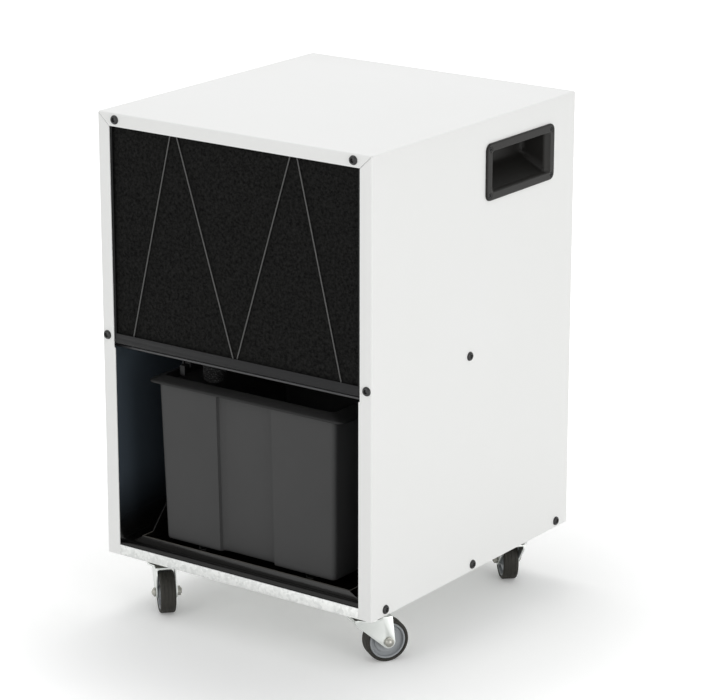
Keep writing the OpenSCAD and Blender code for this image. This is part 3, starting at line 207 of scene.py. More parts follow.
scene.view_settings.view_transform = "Standard"
world = bpy.data.worlds.new("Studio")
scene.world = world
world.use_nodes = True
sky = world.node_tree
sky.nodes.clear()
plain = add_node(sky, "Background", {"Color": linear("#FCFDFE"), "Strength": 0.64})
white = add_node(sky, "Background", {"Color": (1, 1, 1, 1), "Strength": 1.0})
either = add_node(sky, "MixShader", links={0: looked_at(sky), 1: plain, 2: white})
add_node(sky, "OutputWorld", links={"Surface": either})
LAMP_SIZE, LAMP_AIM = 1.8, Vector((0, 0, 0.35))
LAMPS = (("Overhead", (-0.7, 0.6, 3.4), 27),
         ("Side", (3.7, -0.9, 0.95), 33),
         ("Front", (-0.9, -3.6, 1.3), 17))
for name, at, watts in LAMPS:
    lamp = bpy.data.objects.new(name, bpy.data.lights.new(name, "AREA"))
    lamp.data.shape = "SQUARE"
    lamp.data.size = LAMP_SIZE
    lamp.data.energy = watts
    lamp.location = at
    lamp.rotation_euler = (LAMP_AIM - Vector(at)).to_track_quat("-Z", "Y").to_euler()
    scene.collection.objects.link(lamp)
print("lamps:", len(LAMPS))

# %% Floor
floor_finish, where, add, drive = new_finish(
    "Studio floor", "#F2F2F0", 0.6, more={"Specular IOR Level": 0.0, "Emission Color": (1, 1, 1, 1)})
seen = looked_at(floor_finish.node_tree)
drive(seen, tint=("#ECECEA", "#FEFEFD"))
from_middle = add("VectorMath", links={0: where}, operation="LENGTH")
beyond = add("MapRange", {"From Min": 0.35, "From Max": 0.86, "To Min": 0.13, "To Max": 0.62},
             {"Value": from_middle.outputs["Value"]}, interpolation_type="SMOOTHSTEP")
add("Math", links={0: beyond, 1: seen}, to="Emission Strength", operation="MULTIPLY")
bpy.ops.mesh.primitive_plane_add(size=60)
floor = bpy.context.object
floor.name = "Floor"
floor.data.materials.append(floor_finish)
print("floor, m:", round(floor.dimensions.x))

# %% [markdown]
# ## From numbers to meshes
#
# Nearly every piece is a grid of points: rows along one direction, columns along the other. Small
# helpers turn such grids into meshes, carry a profile round an axis or along a path, and put the
# piece on its engineering body. Faces are kept as quads, and edges sharper than a given angle stay
# crisp.


# %% Grids
def eased(t):
    """A smooth step from 0 to 1: t squared, times three less twice t."""
    return t * t * (3 - 2 * t)


def middle(node):
    """The middle of an engineering part's box, in millimetres."""
    low, high = span(node)
    return (low + high) / 2


def grid_faces(rows, cols, wrap_rows=False, wrap_cols=False):
    """Quads between neighbouring points of a grid; wrapping joins the last line to the first."""
    i, j = np.meshgrid(np.arange(rows if wrap_rows else rows - 1),
                       np.arange(cols if wrap_cols else cols - 1), indexing="ij")
    down, right = (i + 1) % rows, (j + 1) % cols
    corners = (i * cols + j, down * cols + j, down * cols + right, i * cols + right)
    return np.stack(corners, -1).reshape(-1, 4).tolist()


def join_grids(*parts):
    """Several (points, faces) pairs as one: each one's face numbers move up past the earlier."""
    points, faces, start = [], [], 0
    for part_points, part_faces in parts:
        faces += [[k + start for k in face] for face in part_faces]
        points.append(np.asarray(part_points, float))
        start += len(part_points)
    return np.concatenate(points), faces


def closed_grid(grid, wrap_rows=False):
    """A grid whose rows are rings, as points and faces. Its first and last row are joined, or
    else each is closed by one face."""
    rows, cols = grid.shape[:2]
    faces = grid_faces(rows, cols, wrap_rows, True)
    if not wrap_rows:
        faces += [list(range(cols))[::-1], [(rows - 1) * cols + k for k in range(cols)]]
    return grid.reshape(-1, 3), faces


print("a cube has", len(closed_grid(np.zeros((2, 4, 3)))[1]), "faces")


# %% Pieces
def settle(piece, node=None):
    """Lets a piece ride on a body. A piece that stands for an engineering part takes over its body
    and hides the part; an extra piece rides on the housing."""
    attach(piece, frame["nodes"][node]["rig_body"] if node else "housing")
    if node:
        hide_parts(node)
    return piece


def link_object(name, mesh, finish):
    """An object at the origin that shows a mesh in one finish, smooth."""
    mesh.shade_smooth()
    mesh.materials.append(finish)
    piece = bpy.data.objects.new(name, mesh)
    scene.collection.objects.link(piece)
    return piece


def make_piece(name, part, finish, node=None, crisp=38):
    """Points in mm and faces become an object at the origin: equal points are merged, normals
    face outward, and edges that turn by more than crisp degrees stay sharp."""
    mesh = bpy.data.meshes.new(name)
    mesh.from_pydata((np.asarray(part[0], float) * MM).tolist(), [], part[1])
    work = bmesh.new()
    work.from_mesh(mesh)
    bmesh.ops.remove_doubles(work, verts=work.verts, dist=2e-6)
    bmesh.ops.dissolve_degenerate(work, edges=work.edges, dist=1e-7)
    bmesh.ops.recalc_face_normals(work, faces=work.faces)
    work.to_mesh(mesh)
    work.free()
    piece = link_object(name, mesh, finish)
    mesh.set_sharp_from_angle(angle=np.radians(crisp))
    return settle(piece, node)


# %% Profiles round an axis, and rings in a plane
def turned(profile, segments=48, closed=False):
    """A profile of (radius, height) carried round the Z axis, as points and faces."""
    angle = np.linspace(0, 2 * np.pi, segments, endpoint=False)
    profile = np.asarray(profile, float)
    radius, height = profile[:, :1], profile[:, 1:2]
    grid = np.stack([radius * np.cos(angle), radius * np.sin(angle), height + 0 * angle], -1)
    return closed_grid(grid, wrap_rows=closed)


def aimed(part, at, axis):
    """Points made along +Z, turned so that Z follows the axis, then moved to a place in mm."""
    turn = np.array(Vector((0, 0, 1)).rotation_difference(Vector(axis)).to_matrix())
    return np.asarray(part[0]) @ turn.T + np.asarray(at, float), part[1]


def arc(centre, radius, start, end, steps=6):
    """Points of a circle's arc in a plane, its angles in degrees, both ends included."""
    angle = np.radians(np.linspace(start, end, steps))
    return np.asarray(centre, float) + radius * np.stack([np.cos(angle), np.sin(angle)], 1)


def round_ring(width, height, radius, steps=6, centre=(0, 0)):
    """A rectangle with round corners in a plane: four quarter arcs, joined end to end."""
    half = np.array([width / 2 - radius, height / 2 - radius])
    signs = ((1, 1, 0), (-1, 1, 90), (-1, -1, 180), (1, -1, 270))
    corners = [arc(half * (sx, sy), radius, turn, turn + 90, steps) for sx, sy, turn in signs]
    return np.concatenate(corners) + np.asarray(centre, float)


print("a round ring has", len(round_ring(4, 2, 0.5)), "points")


# %% Bars along a path
def bent_path(points, bend, steps=7):
    """A path whose corners are rounded: the corner gives way to an arc that touches both legs."""
    points = np.asarray(points, float)
    route = [points[:1]]
    for before, corner, after in zip(points[:-2], points[1:-1], points[2:]):
        u = (before - corner) / np.linalg.norm(before - corner)
        v = (after - corner) / np.linalg.norm(after - corner)
        half = np.arccos(np.clip(u @ v, -1, 1)) / 2
        reach = min(bend / np.tan(half), 0.49 * np.linalg.norm(before - corner),
                    0.49 * np.linalg.norm(after - corner))
        radius = reach * np.tan(half)
        middle = corner + (u + v) / np.linalg.norm(u + v) * radius / np.sin(half)
        a, b = corner + u * reach - middle, corner + v * reach - middle
        sweep = np.pi - 2 * half
        t = np.linspace(0, 1, steps)[:, None]
        route.append(middle + (a * np.sin((1 - t) * sweep) + b * np.sin(t * sweep)) / np.sin(sweep))
    route.append(points[-1:])
    return np.concatenate(route)


def tube(points, radius, bend, sides):
    """A round bar along a path: at each station a circle stands square to the path. The circle's
    first direction is carried forward by taking out its part along the new direction."""
    path = bent_path(points, bend)
    ahead = np.gradient(path, axis=0)
    ahead /= np.linalg.norm(ahead, axis=1, keepdims=True)
    across = np.cross(ahead[0], (0.31, 0.17, 0.93))
    firsts = []
    for way in ahead:
        across = across - way * (across @ way)
        across = across / np.linalg.norm(across)
        firsts.append(across)
    first = np.array(firsts)[:, None]
    second = np.cross(ahead, first[:, 0])[:, None]
    angle = np.linspace(0, 2 * np.pi, sides, endpoint=False)[None, :, None]
    return closed_grid(path[:, None] + radius * (first * np.cos(angle) + second * np.sin(angle)))


print("a bend has", len(bent_path([(0, 0), (9, 0), (9, 9)], 2)), "stations with its ends")


# %% Slabs
def slab(outline, low, high, edge=0.6, steps=4):
    """A flat outline of (a, b) points raised from low to high, with both rims rounded: the
    outline shrinks along a quarter circle as it nears either face. Columns are (a, b, height)."""
    outline = np.asarray(outline, float)
    ahead = np.roll(outline, -1, 0) - outline
    ahead /= np.linalg.norm(ahead, axis=1, keepdims=True) + 1e-12
    out = np.stack([ahead[:, 1], -ahead[:, 0]], 1)
    out = out + np.roll(out, 1, 0)
    out /= np.linalg.norm(out, axis=1, keepdims=True) + 1e-12
    t = np.linspace(0, np.pi / 2, steps)
    inset = np.concatenate([edge * (1 - np.sin(t)), edge * (1 - np.cos(t))])
    height = np.concatenate([low + edge * (1 - np.cos(t)), high - edge * (1 - np.sin(t))])
    grid = np.zeros((2 * steps, len(outline), 3))
    grid[..., :2] = outline[None] - inset[:, None, None] * out[None]
    grid[..., 2] = height[:, None]
    return closed_grid(grid)


def upright(part, y):
    """Points made as (x, z, depth) moved to stand upright, their depth measured back from y."""
    a = np.asarray(part[0])
    return np.stack([a[:, 0], y + a[:, 2], a[:, 1]], 1), part[1]


print("a slab has", len(slab(round_ring(4, 2, 0.5), 0, 1, 0.2)[0]), "points")


# %% Copies of engineering parts
def merged_copy(node, flat_angle=0.0):
    """An engineering part's loose triangles as one mesh: equal corners are merged, and faces that
    turn by less than the given angle are joined up."""
    work = bmesh.new()
    work.from_mesh(frame["nodes"][node].data)
    bmesh.ops.remove_doubles(work, verts=work.verts, dist=1e-6)
    if flat_angle:
        bmesh.ops.dissolve_limit(work, angle_limit=np.radians(flat_angle), verts=work.verts,
                                 edges=work.edges)
    mesh = bpy.data.meshes.new("soft_" + node)
    work.to_mesh(mesh)
    work.free()
    return mesh


def islands(node):
    """The separate solids of an engineering part, each as an array of its corners in mm.
    Corners that share an edge take the lower of their two labels until no label changes."""
    mesh = merged_copy(node)
    points = np.zeros(len(mesh.vertices) * 3)
    mesh.vertices.foreach_get("co", points)
    edges = np.zeros(len(mesh.edges) * 2, int)
    mesh.edges.foreach_get("vertices", edges)
    bpy.data.meshes.remove(mesh)
    edges = edges.reshape(-1, 2)
    label = np.arange(len(points) // 3)
    while True:
        least = label.copy()
        np.minimum.at(least, edges[:, 0], label[edges[:, 1]])
        np.minimum.at(least, edges[:, 1], label[edges[:, 0]])
        least = least[least]
        if (least == label).all():
            break
        label = least
    points = points.reshape(-1, 3) / MM
    return [points[label == k] for k in np.unique(label)]


print("parts in the engineering model:", len(frame["nodes"]))


# %% Broken edges, and a second finish
EDGE_ANGLE = 30


def softened(node, finish, width):
    """An engineering part with its edges broken: a Bevel modifier on a merged copy rounds every
    edge where the faces turn by more than a set angle, to a width in mm."""
    piece = link_object("soft_" + node, merged_copy(node, flat_angle=0.5), finish)
    bevel = piece.modifiers.new("Broken edges", "BEVEL")
    bevel.width = width * MM
    bevel.segments = 2
    bevel.limit_method = "ANGLE"
    bevel.angle_limit = np.radians(EDGE_ANGLE)
    bevel.harden_normals = True
    return settle(piece, node)


def second_finish(piece, finish, chosen):
    """Gives some faces of a piece another finish: chosen is a function of their middles in mm."""
    middles = np.zeros(len(piece.data.polygons) * 3)
    piece.data.polygons.foreach_get("center", middles)
    which = chosen(middles.reshape(-1, 3) / MM).astype(np.int32)
    piece.data.materials.append(finish)
    piece.data.polygons.foreach_set("material_index", which)


print("edges are broken where faces turn by more than", EDGE_ANGLE, "degrees")

# %% [markdown]
# ## The finishes
#
# One short function for each real finish. Each says what the surface is made of and what that
# does to light, and works out its patterns from a size in millimetres. Patterns read Object
# coordinates, so they stay put on a piece that moves.


# %% Powder-coated steel
def powder_coat():
    """Baked powder on sheet steel: a soft gloss over a faint orange peel, about 3 mm across."""
    made, where, add, drive = new_finish("Powder-coated steel, white", "#F1F1F0", 0.4)
    peel = add("TexNoise", {"Scale": per(2.6), "Detail": 2.0}, {"Vector": where})
    drive(peel, bump=(0.1, 0.0001))
    cloud = add("TexNoise", {"Scale": per(160), "Detail": 4.0}, {"Vector": where})
    drive(cloud, tint=("#F0F0EE", "#F3F3F2"), rough=(0.36, 0.46))
    return made


white_coat = powder_coat()
print("made:", white_coat.name)


# %% Plastics, from gloss to grain
def moulded(name, colour, roughness, grain=0.8, depth=0.03, streak=0.0, more=None):
    """An injection-moulded plastic: even colour, and a spark-eroded grain of a given size and
    depth in mm. Streak adds the faint large clouds that a filled or recycled plastic shows."""
    made, where, add, drive = new_finish(name, colour, roughness, more=more)
    grit = add("TexNoise", {"Scale": per(grain), "Detail": 3.0}, {"Vector": where})
    drive(grit, bump=(0.5, depth * MM))
    cloud = add("TexNoise", {"Scale": per(70), "Detail": 5.0, "Roughness": 0.6}, {"Vector": where})
    drive(cloud, rough=(roughness - 0.05, roughness + 0.08))
    if streak:
        bright = add("MapRange", {"To Min": 1 - streak, "To Max": 1 + streak}, {"Value": cloud})
        add("HueSaturation", {"Color": linear(colour)}, {"Value": bright}, to="Base Color")
    return made


DULL = {"Specular IOR Level": 0.2}
cap_plastic = moulded("Polyamide caps, black", "#161616", 0.28, grain=1.5, depth=0.01)
tank_plastic = moulded("Polypropylene tank, dark grey", "#434343", 0.5, 0.9, 0.05, 0.10, DULL)
# A darker copy of the tank's plastic: painted shade on the rim, which faces up under the bay's dark
# ceiling
rim_shade_plastic = moulded("Polypropylene rim, painted shade", "#1D1D1D", 0.42, 0.9, 0.04, 0.06, DULL)
handle_plastic = moulded("ABS bezel, charcoal", "#201F1D", 0.38, 0.7, 0.05, 0.06, DULL)
# Darker than the bezel: painted shade inside the hand cup
cup_shade_plastic = moulded("ABS hand cup, painted shade", "#151412", 0.5, 0.7, 0.05, more=DULL)
control_plastic = moulded("ABS controls, black", "#161617", 0.42, 0.6, 0.04, more=DULL)
frame_plastic = moulded("Filter frame, black", "#0F0F0F", 0.55, 0.9, 0.04, more=DULL)
spout_plastic = moulded("Drain spout, grey", "#4A4A4C", 0.4, more=DULL)
wheel_plastic = moulded("Polypropylene wheel hub, grey", "#989B9E", 0.42, grain=0.7)
gland_plastic = moulded("Polyamide gland, black", "#171718", 0.38, more=DULL)
cream_plastic = moulded("Counter face, white", "#E6E6E2", 0.4)
# Grey on the tray's gloss black: a painted highlight along the ridge's top
ridge_highlight = moulded("Tray ridge, painted highlight, grey", "#4E4B45", 0.3, grain=3, depth=0.05)
tray_gloss = moulded("Vacuum-formed tray, gloss black", "#0E0D0B", 0.14, grain=14, depth=0.25)
red_rocker = moulded("Polycarbonate rocker, red", "#9E1B14", 0.22, grain=1.5, depth=0.005)
amber_lens = new_finish("Acrylic lamp lens, amber", "#E2711D", 0.08, ior=1.49,
                        more={"Transmission Weight": 0.35})[0]
display_glass = new_finish("Counter window, dark acrylic", "#0C0D0F", 0.1, ior=1.49)[0]
print("finishes so far:", len(bpy.data.materials))


# %% Vacuum-formed sheet
def thermoformed():
    """Black polystyrene sheet drawn over a mould: high gloss, with slow waves from the drawing. The
    walls are blue-grey, and painted shade darkens them to near black towards the floor."""
    made, where, add, drive = new_finish("Thermoformed liner, gloss black", "#363D44", 0.16,
                                         more={"Specular IOR Level": 0.35})
    floor = span("bay_liner")[0][2] * MM
    height = add("SeparateXYZ", links={0: where}).outputs["Z"]
    # Painted shade: the wall colour falls to near black over the lowest 11 cm, towards the floor
    floor_shade = add("MapRange", {"From Min": floor + 0.004, "From Max": floor + 0.11}, {"Value": height},
                interpolation_type="SMOOTHSTEP")
    drive(floor_shade, tint=("#100F0E", "#434B53"))
    wave = add("TexNoise", {"Scale": per(38), "Detail": 1.5}, {"Vector": where})
    drive(wave, bump=(0.35, 0.0011))
    dust = add("TexNoise", {"Scale": per(9), "Detail": 6.0}, {"Vector": where})
    drive(dust, rough=(0.13, 0.26))
    return made


liner_gloss = thermoformed()
print("made:", liner_gloss.name)


# %% Metals
def zinc_spangle():
    """Hot-dip galvanised sheet: zinc crystals of 3 to 5 mm, each with its own tilt and gloss."""
    made, where, add, drive = new_finish("Galvanised steel, spangled", "#CDCFCE", 0.42, 0.82)
    crystal = add("TexVoronoi", {"Scale": per(3.8)}, {"Vector": where})
    parts = add("SeparateColor", links={0: crystal.outputs["Color"]})
    fine = add("TexNoise", {"Scale": per(1.4), "Detail": 4.0}, {"Vector": where})
    mixed = add("Math", {1: 0.45}, {0: fine, 2: parts}, operation="MULTIPLY_ADD")
    drive(mixed, tint=("#CBCDCB", "#E4E5E3"), bump=(0.1, 0.00012))
    drive(parts.outputs[1], rough=(0.36, 0.48))
    return made


def bare_metal(name, colour, roughness, metallic=1.0, more=None):
    """A plain metal: coloured by its reflection, with a fine grain and patches of duller skin.
    Where metallic is 0 it is the enamel on the metal that is seen."""
    made, where, add, drive = new_finish(name, colour, roughness, metallic, more=more)
    patch = add("TexNoise", {"Scale": per(14), "Detail": 5.0}, {"Vector": where})
    drive(patch, rough=(roughness - 0.07, roughness + 0.12))
    fine = add("TexNoise", {"Scale": per(1.2), "Detail": 2.0}, {"Vector": where})
    drive(fine, bump=(0.3, 0.00002))
    return made


galvanised = zinc_spangle()
zinc_plate = bare_metal("Zinc-plated steel, bright", "#DCDFDC", 0.3)
axle_steel = bare_metal("Axle bolt, dull zinc", "#A9A8A1", 0.38)
# Dark zinc: painted shade on the ball race under the caster plate
race_shade_steel = bare_metal("Ball race, painted shade", "#5A5853", 0.36)
aluminium = bare_metal("Mill-finish aluminium", "#D9DBDD", 0.34)
copper = bare_metal("Drawn copper tube", "#C98462", 0.3)
wire_coat = bare_metal("Dipped spring wire, grey", "#4A4A49", 0.42, 0.25)
black_steel = bare_metal("Stove-enamelled steel, black", "#141415", 0.38, 0.0, DULL)
rail_coat = bare_metal("Coated rail, black", "#19191A", 0.42, 0.0, DULL)
# Dark grey, a little lighter than the rail: a painted highlight along the rail's lower edge
rail_highlight_coat = bare_metal("Rail's lower edge, painted highlight", "#343436", 0.36, 0.0)
print("finishes so far:", len(bpy.data.materials))


# %% Fleece, foam and rubber
def fleece():
    """Needled polyester fleece: matt black fibres in a loose felt, mottled in tufts of 4 mm."""
    made, where, add, drive = new_finish("Needled filter fleece, black", "#1A1A1A", 0.95,
                                         more={"Specular IOR Level": 0.06})
    tuft = add("TexNoise", {"Scale": per(4.5), "Detail": 6.0, "Roughness": 0.8}, {"Vector": where})
    spread = add("MapRange", {"From Min": 0.36, "From Max": 0.72}, {"Value": tuft})
    drive(spread, tint=("#070707", "#2B2B2A"))
    fibre = add("TexNoise", {"Scale": per(1.6), "Detail": 4.0}, {"Vector": where})
    drive(fibre, bump=(0.7, 0.0006))
    return made


def open_foam():
    """Open-cell foam sleeve: dark, matt, with cells about 2 mm wide that catch light as specks."""
    made, where, add, drive = new_finish("Open-cell foam, black", "#232323", 0.9,
                                         more={"Specular IOR Level": 0.1})
    cell = add("TexVoronoi", {"Scale": per(1.9)}, {"Vector": where})
    speck = add("MapRange", {"From Min": 0.05, "From Max": 0.32, "To Min": 1.0, "To Max": 0.0},
                {"Value": cell})
    drive(speck, tint=("#0E0E0E", "#5E5E5E"))
    drive(cell, bump=(0.8, 0.0007))
    return made


def wheel_rubber():
    """Moulded rubber tyre: matt, nearly black, dusted paler where it has rolled."""
    made, where, add, drive = new_finish("Moulded rubber, dark grey", "#2C2B29", 0.68,
                                         more={"Specular IOR Level": 0.35})
    dust = add("TexNoise", {"Scale": per(6), "Detail": 7.0, "Roughness": 0.7}, {"Vector": where})
    drive(dust, tint=("#242321", "#37352F"), bump=(0.4, 0.00015))
    return made


filter_fleece, foam, rubber = fleece(), open_foam(), wheel_rubber()
print("finishes:", len(bpy.data.materials))

# %% [markdown]
# ## The folded cover
#
# The cover is one sheet, bent over the top and down both sides, with narrow return flanges at the
# front and back that meet in a mitre at the top corners. It is a profile carried along a path:
# the profile is a thin closed strip that wraps round both bends, and the path runs up one side,
# over the top and down the other. At the mitre the path's stations fall on one point, and pushing
# the middle ones inward leaves the fine dark seam and the small notch that a folded corner has.

# %% The cover's profile and path
SHEET, BEND, CORNER = 1.2, 2.4, 3.0
FLANGE_SIDE, FLANGE_LOW, FLANGE_TOP = 19.5, 21.5, 18.5
HOLE_Y, HOLE_Z = 72.0, 30.0
LEFT, LEFT_TURN, RIGHT_TURN, RIGHT = range(4)
notch_z = span("filter_rail")[0][2]
handle_y, handle_z = middle("handle_right")[1:]


def cover_profile():
    """The strip in section, as rows of (inset, share of the flange, depth y): the outer line
    from front flange to back flange with an arc at each bend, then the inner line back."""
    def half(inset, bend, sign):
        edge = front_y if sign > 0 else back_y
        flat = [(BEND, 1.0, edge + sign * inset), (BEND, 0.0, edge + sign * inset)]
        curve = [(BEND - a, 0.0, edge + sign * (BEND - b)) for a, b in arc((0, 0), bend, 90, 0)]
        return np.array(flat + curve)

    def line(inset, bend):
        hole = [(inset, 0.0, handle_y - HOLE_Y), (inset, 0.0, handle_y + HOLE_Y)]
        return np.concatenate([half(inset, bend, 1), hole, half(inset, bend, -1)[::-1]])

    return np.concatenate([line(0, BEND), line(SHEET, BEND - SHEET)[::-1]])


def cover_stations():
    """The path as rows of (kind, value, flange width): up the left side with a height, round
    each corner with an angle in degrees, and down the right side."""
    heights = [low_z, notch_z - 0.5, notch_z + 0.5, handle_z - HOLE_Z, handle_z + HOLE_Z,
               top_z - CORNER]
    widths = [FLANGE_LOW, FLANGE_LOW] + [FLANGE_SIDE] * 4
    left = [(LEFT, z, w) for z, w in zip(heights, widths)]
    turn = [(LEFT_TURN, a, FLANGE_SIDE) for a in (0, 22.5, 45, 67.5, 90)]
    return np.array(left + turn + [(RIGHT_TURN, a, w) for _, a, w in turn[::-1]]
                    + [(RIGHT, z, w) for _, z, w in left[::-1]], float)


profile, stations = cover_profile(), cover_stations()
print("cover:", len(stations), "stations of", len(profile), "points")

# %% Cover
SEAM_WIDTH, SEAM_DEPTH, NOTCH_DEPTH = 0.5, 2.2, 1.4
kind, value, width = (stations[:, k, None] for k in range(3))
inset, share, depth = (profile[None, :, k] for k in range(3))
inset_x = inset + share * (width - BEND)
inset_z = inset + share * (FLANGE_TOP - BEND)
is_turn = (kind == LEFT_TURN) | (kind == RIGHT_TURN)
on_flange = share > 0.5
angle = np.where(is_turn, np.radians(value), 0.0)
turn_x = side_x - np.maximum(CORNER, inset_x) + np.maximum(CORNER - inset_x, 0) * np.cos(angle)
turn_z = top_z - np.maximum(CORNER, inset_z) + np.maximum(CORNER - inset_z, 0) * np.sin(angle)
x = np.where(is_turn, turn_x, side_x - inset_x)
z = np.where(is_turn, turn_z, value + 0 * inset)
# The seam: both flanges stop short of the mitre, and the stations between them are pushed in
z = z - np.where(is_turn & on_flange & (value == 0), SEAM_WIDTH, 0)
x = x - np.where(is_turn & on_flange & (value == 90), SEAM_WIDTH, 0)
z = np.where(~is_turn & on_flange & (value > top_z - 50), top_z - FLANGE_TOP - SEAM_WIDTH, z)
into = np.where(depth < 0, 1.0, -1.0)
to_edge = np.minimum(np.abs(depth - front_y), np.abs(depth - back_y))
y = depth + into * np.where(is_turn & on_flange & (np.abs(value - 45) < 40), SEAM_DEPTH, 0)
y = y + into * np.where(is_turn & ~on_flange & (to_edge < 1.0) & (value == 45), NOTCH_DEPTH, 0)
points, faces = closed_grid(np.stack([np.where(kind <= LEFT_TURN, -1.0, 1.0) * x, y, z], -1))
from_grip = np.abs([points[face].mean(0) - (0, handle_y, handle_z) for face in faces])
in_hole = (from_grip[:, 0] > side_x - 2) & (from_grip[:, 1] < HOLE_Y) & (from_grip[:, 2] < HOLE_Z)
faces = [f for f, gone in zip(faces, in_hole) if not gone]
make_piece("folded_cover", (points, faces), white_coat, "outer_cover", crisp=50)
print("cover:", len(faces), "faces,", int(in_hole.sum()), "left out for the grips")

# %% [markdown]
# ## Small things on the cover
#
# The snap caps are domes on short upright rims. Their places are read from the engineering caps:
# each one is a separate solid, and the side it stands on tells which way it points. The base pan
# only needs its edges broken, so a copy of the engineering part is merged and bevelled.

# %% Caps and pan
CAP_HEIGHT, CAP_DISH, CAP_BASE = 3.6, 2.5, 1.0


def cap_profile(radius):
    """A snap cap in section: a short rim, a small step, and a dome with a dished crown. The dome
    is a quarter circle whose height falls again towards the axis as a smooth step."""
    t = np.linspace(0, np.pi / 2, 19)[:-1]
    across = (radius - 0.35) * np.cos(t)
    dish = CAP_DISH * eased(np.clip((0.52 - across / radius) / 0.2, 0, 1))
    height = CAP_BASE + (CAP_HEIGHT - CAP_BASE) * np.sin(t) ** 0.85 - dish
    return np.concatenate([[[radius, -0.15], [radius, 0.55], [radius - 0.2, 0.85]],
                           np.stack([across, height], 1), [[0.1, CAP_HEIGHT - CAP_DISH]]])


def outward_place(points):
    """Where a cap sits on the housing and which way it points, from its solid's corners."""
    low, high = points.min(0), points.max(0)
    at = (low + high) / 2
    if max(high[0], -low[0]) > side_x + 1:
        way = np.array([np.sign(at[0]), 0, 0])
        at[0] = way[0] * side_x
    else:
        way = np.array([0, np.sign(at[1]), 0])
        at[1] = front_y if way[1] < 0 else back_y
    return at, way


caps = []
for points in islands("cover_screws"):
    at, way = outward_place(points)
    caps.append(aimed(turned(cap_profile(np.ptp(points, axis=0)[2] / 2), 36), at, way))
make_piece("snap_caps", join_grids(*caps), cap_plastic, "cover_screws")
softened("base_pan", galvanised, 0.5)
print("caps:", len(caps))

# %% [markdown]
# ## The tank bay
#
# The liner is one sheet drawn over a mould, so every inside corner is round. It is a trough
# carried backward from the front. Near its back the trough's outline shrinks along a quarter
# circle, which rounds the back corners, and strips between its left and its right half close it.
# A Solidify modifier gives the sheet its thickness on the hidden side.


# %% The liner's section
liner_low, liner_high = span("bay_liner")
WALL, FLOOR_RADIUS, BACK_RADIUS = 2.0, 18.0, 14.0
half_wide, floor_z = liner_high[0] - WALL, liner_low[2] + WALL
bay_front, bay_back = front_y + SHEET + 0.4, liner_high[1] - WALL


def trough(inset):
    """The liner's section at some inset from its walls: down, round, across, round and up."""
    a, r = half_wide - inset, FLOOR_RADIUS - min(inset, FLOOR_RADIUS - 4)
    low = floor_z + inset
    wall = np.linspace(liner_high[2], low + r, 9)[:-1]
    across = np.linspace(-a + r, 0, 6)[1:]
    side = np.concatenate([np.stack([0 * wall - a, wall], 1), arc((-a + r, low + r), r, 180, 270, 10),
                           np.stack([across, 0 * across + low], 1)])
    return np.concatenate([side, side[-2::-1] * (-1, 1)])


print("points in the liner's section:", len(trough(0)))


# %% The liner's sheet, drawn backward
def facing(piece, point):
    """Turns a sheet's faces so that, taken together, they look at a point given in mm."""
    work = bmesh.new()
    work.from_mesh(piece.data)
    towards = sum(f.calc_area() * f.normal.dot(Vector(point) * MM - f.calc_center_median())
                  for f in work.faces)
    if towards < 0:
        bmesh.ops.reverse_faces(work, faces=work.faces)
    work.to_mesh(piece.data)
    work.free()


t = np.linspace(0, np.pi / 2, 8)[1:]
insets = np.concatenate([np.zeros(12), BACK_RADIUS * (1 - np.cos(t))])
depths = np.concatenate([np.linspace(bay_front, bay_back - BACK_RADIUS, 12),
                         bay_back - BACK_RADIUS + BACK_RADIUS * np.sin(t)])
grid = np.stack([np.insert(trough(inset), 1, y, axis=1) for inset, y in zip(insets, depths)])
rows, cols = grid.shape[:2]
last, half = (rows - 1) * cols, cols // 2
faces = grid_faces(rows, cols)
faces += [[last + k, last + k + 1, last + cols - 2 - k, last + cols - 1 - k] for k in range(half - 1)]
faces.append([last + half - 1, last + half, last + half + 1])
liner = make_piece("formed_liner", (grid.reshape(-1, 3), faces), liner_gloss, "bay_liner", crisp=60)
facing(liner, (0, -60, 300))
print("liner:", np.round(liner_high - liner_low), "mm")

# %% The liner's thickness, and the tray
sheet = liner.modifiers.new("Sheet", "SOLIDIFY")
sheet.thickness = WALL * MM
sheet.offset = -1
tray = softened("tank_tray", tray_gloss, 1.1)
ridge_z = span("tank")[0][2] - 0.6
# Painted highlight: the faces on top of the ridge take the grey finish
second_finish(tray, ridge_highlight, lambda at: np.abs(at[:, 2] - ridge_z) < 0.3)
print("tray's ridge, mm above the floor:", round(ridge_z, 1))

# %% [markdown]
# ## The water tank
#
# The tank is moulded in one piece, so it is lofted in one piece too: closed rings, one above the
# other, run from its floor up the outside, round the rim and down the inside. Each ring is a
# rectangle with round corners. Its front side has more points, because the panel in its middle
# is set back by a few millimetres, with a crisp edge on the left and a softer one on the right.

# %% One ring of the tank
tank_low, tank_high = span("tank")
RIM_SIDE, RIM_END, RIM_HEIGHT, CREST = 16.0, 6.0, 10.5, -6.0
LEAN, DRAFT, TANK_WALL, FLOOR_CURVE = 6.0, 5.0, 2.8, 3.5
PANEL_LEFT, PANEL_RIGHT, PANEL_DEPTH = -49.0, 43.0, 7.0
tank_half = (tank_high[0] - tank_low[0]) / 2 - RIM_SIDE
tank_front, tank_back = tank_low[1] + RIM_END, tank_high[1] - RIM_END
tank_z, tank_top = tank_low[2], tank_high[2]
under = tank_top - RIM_HEIGHT


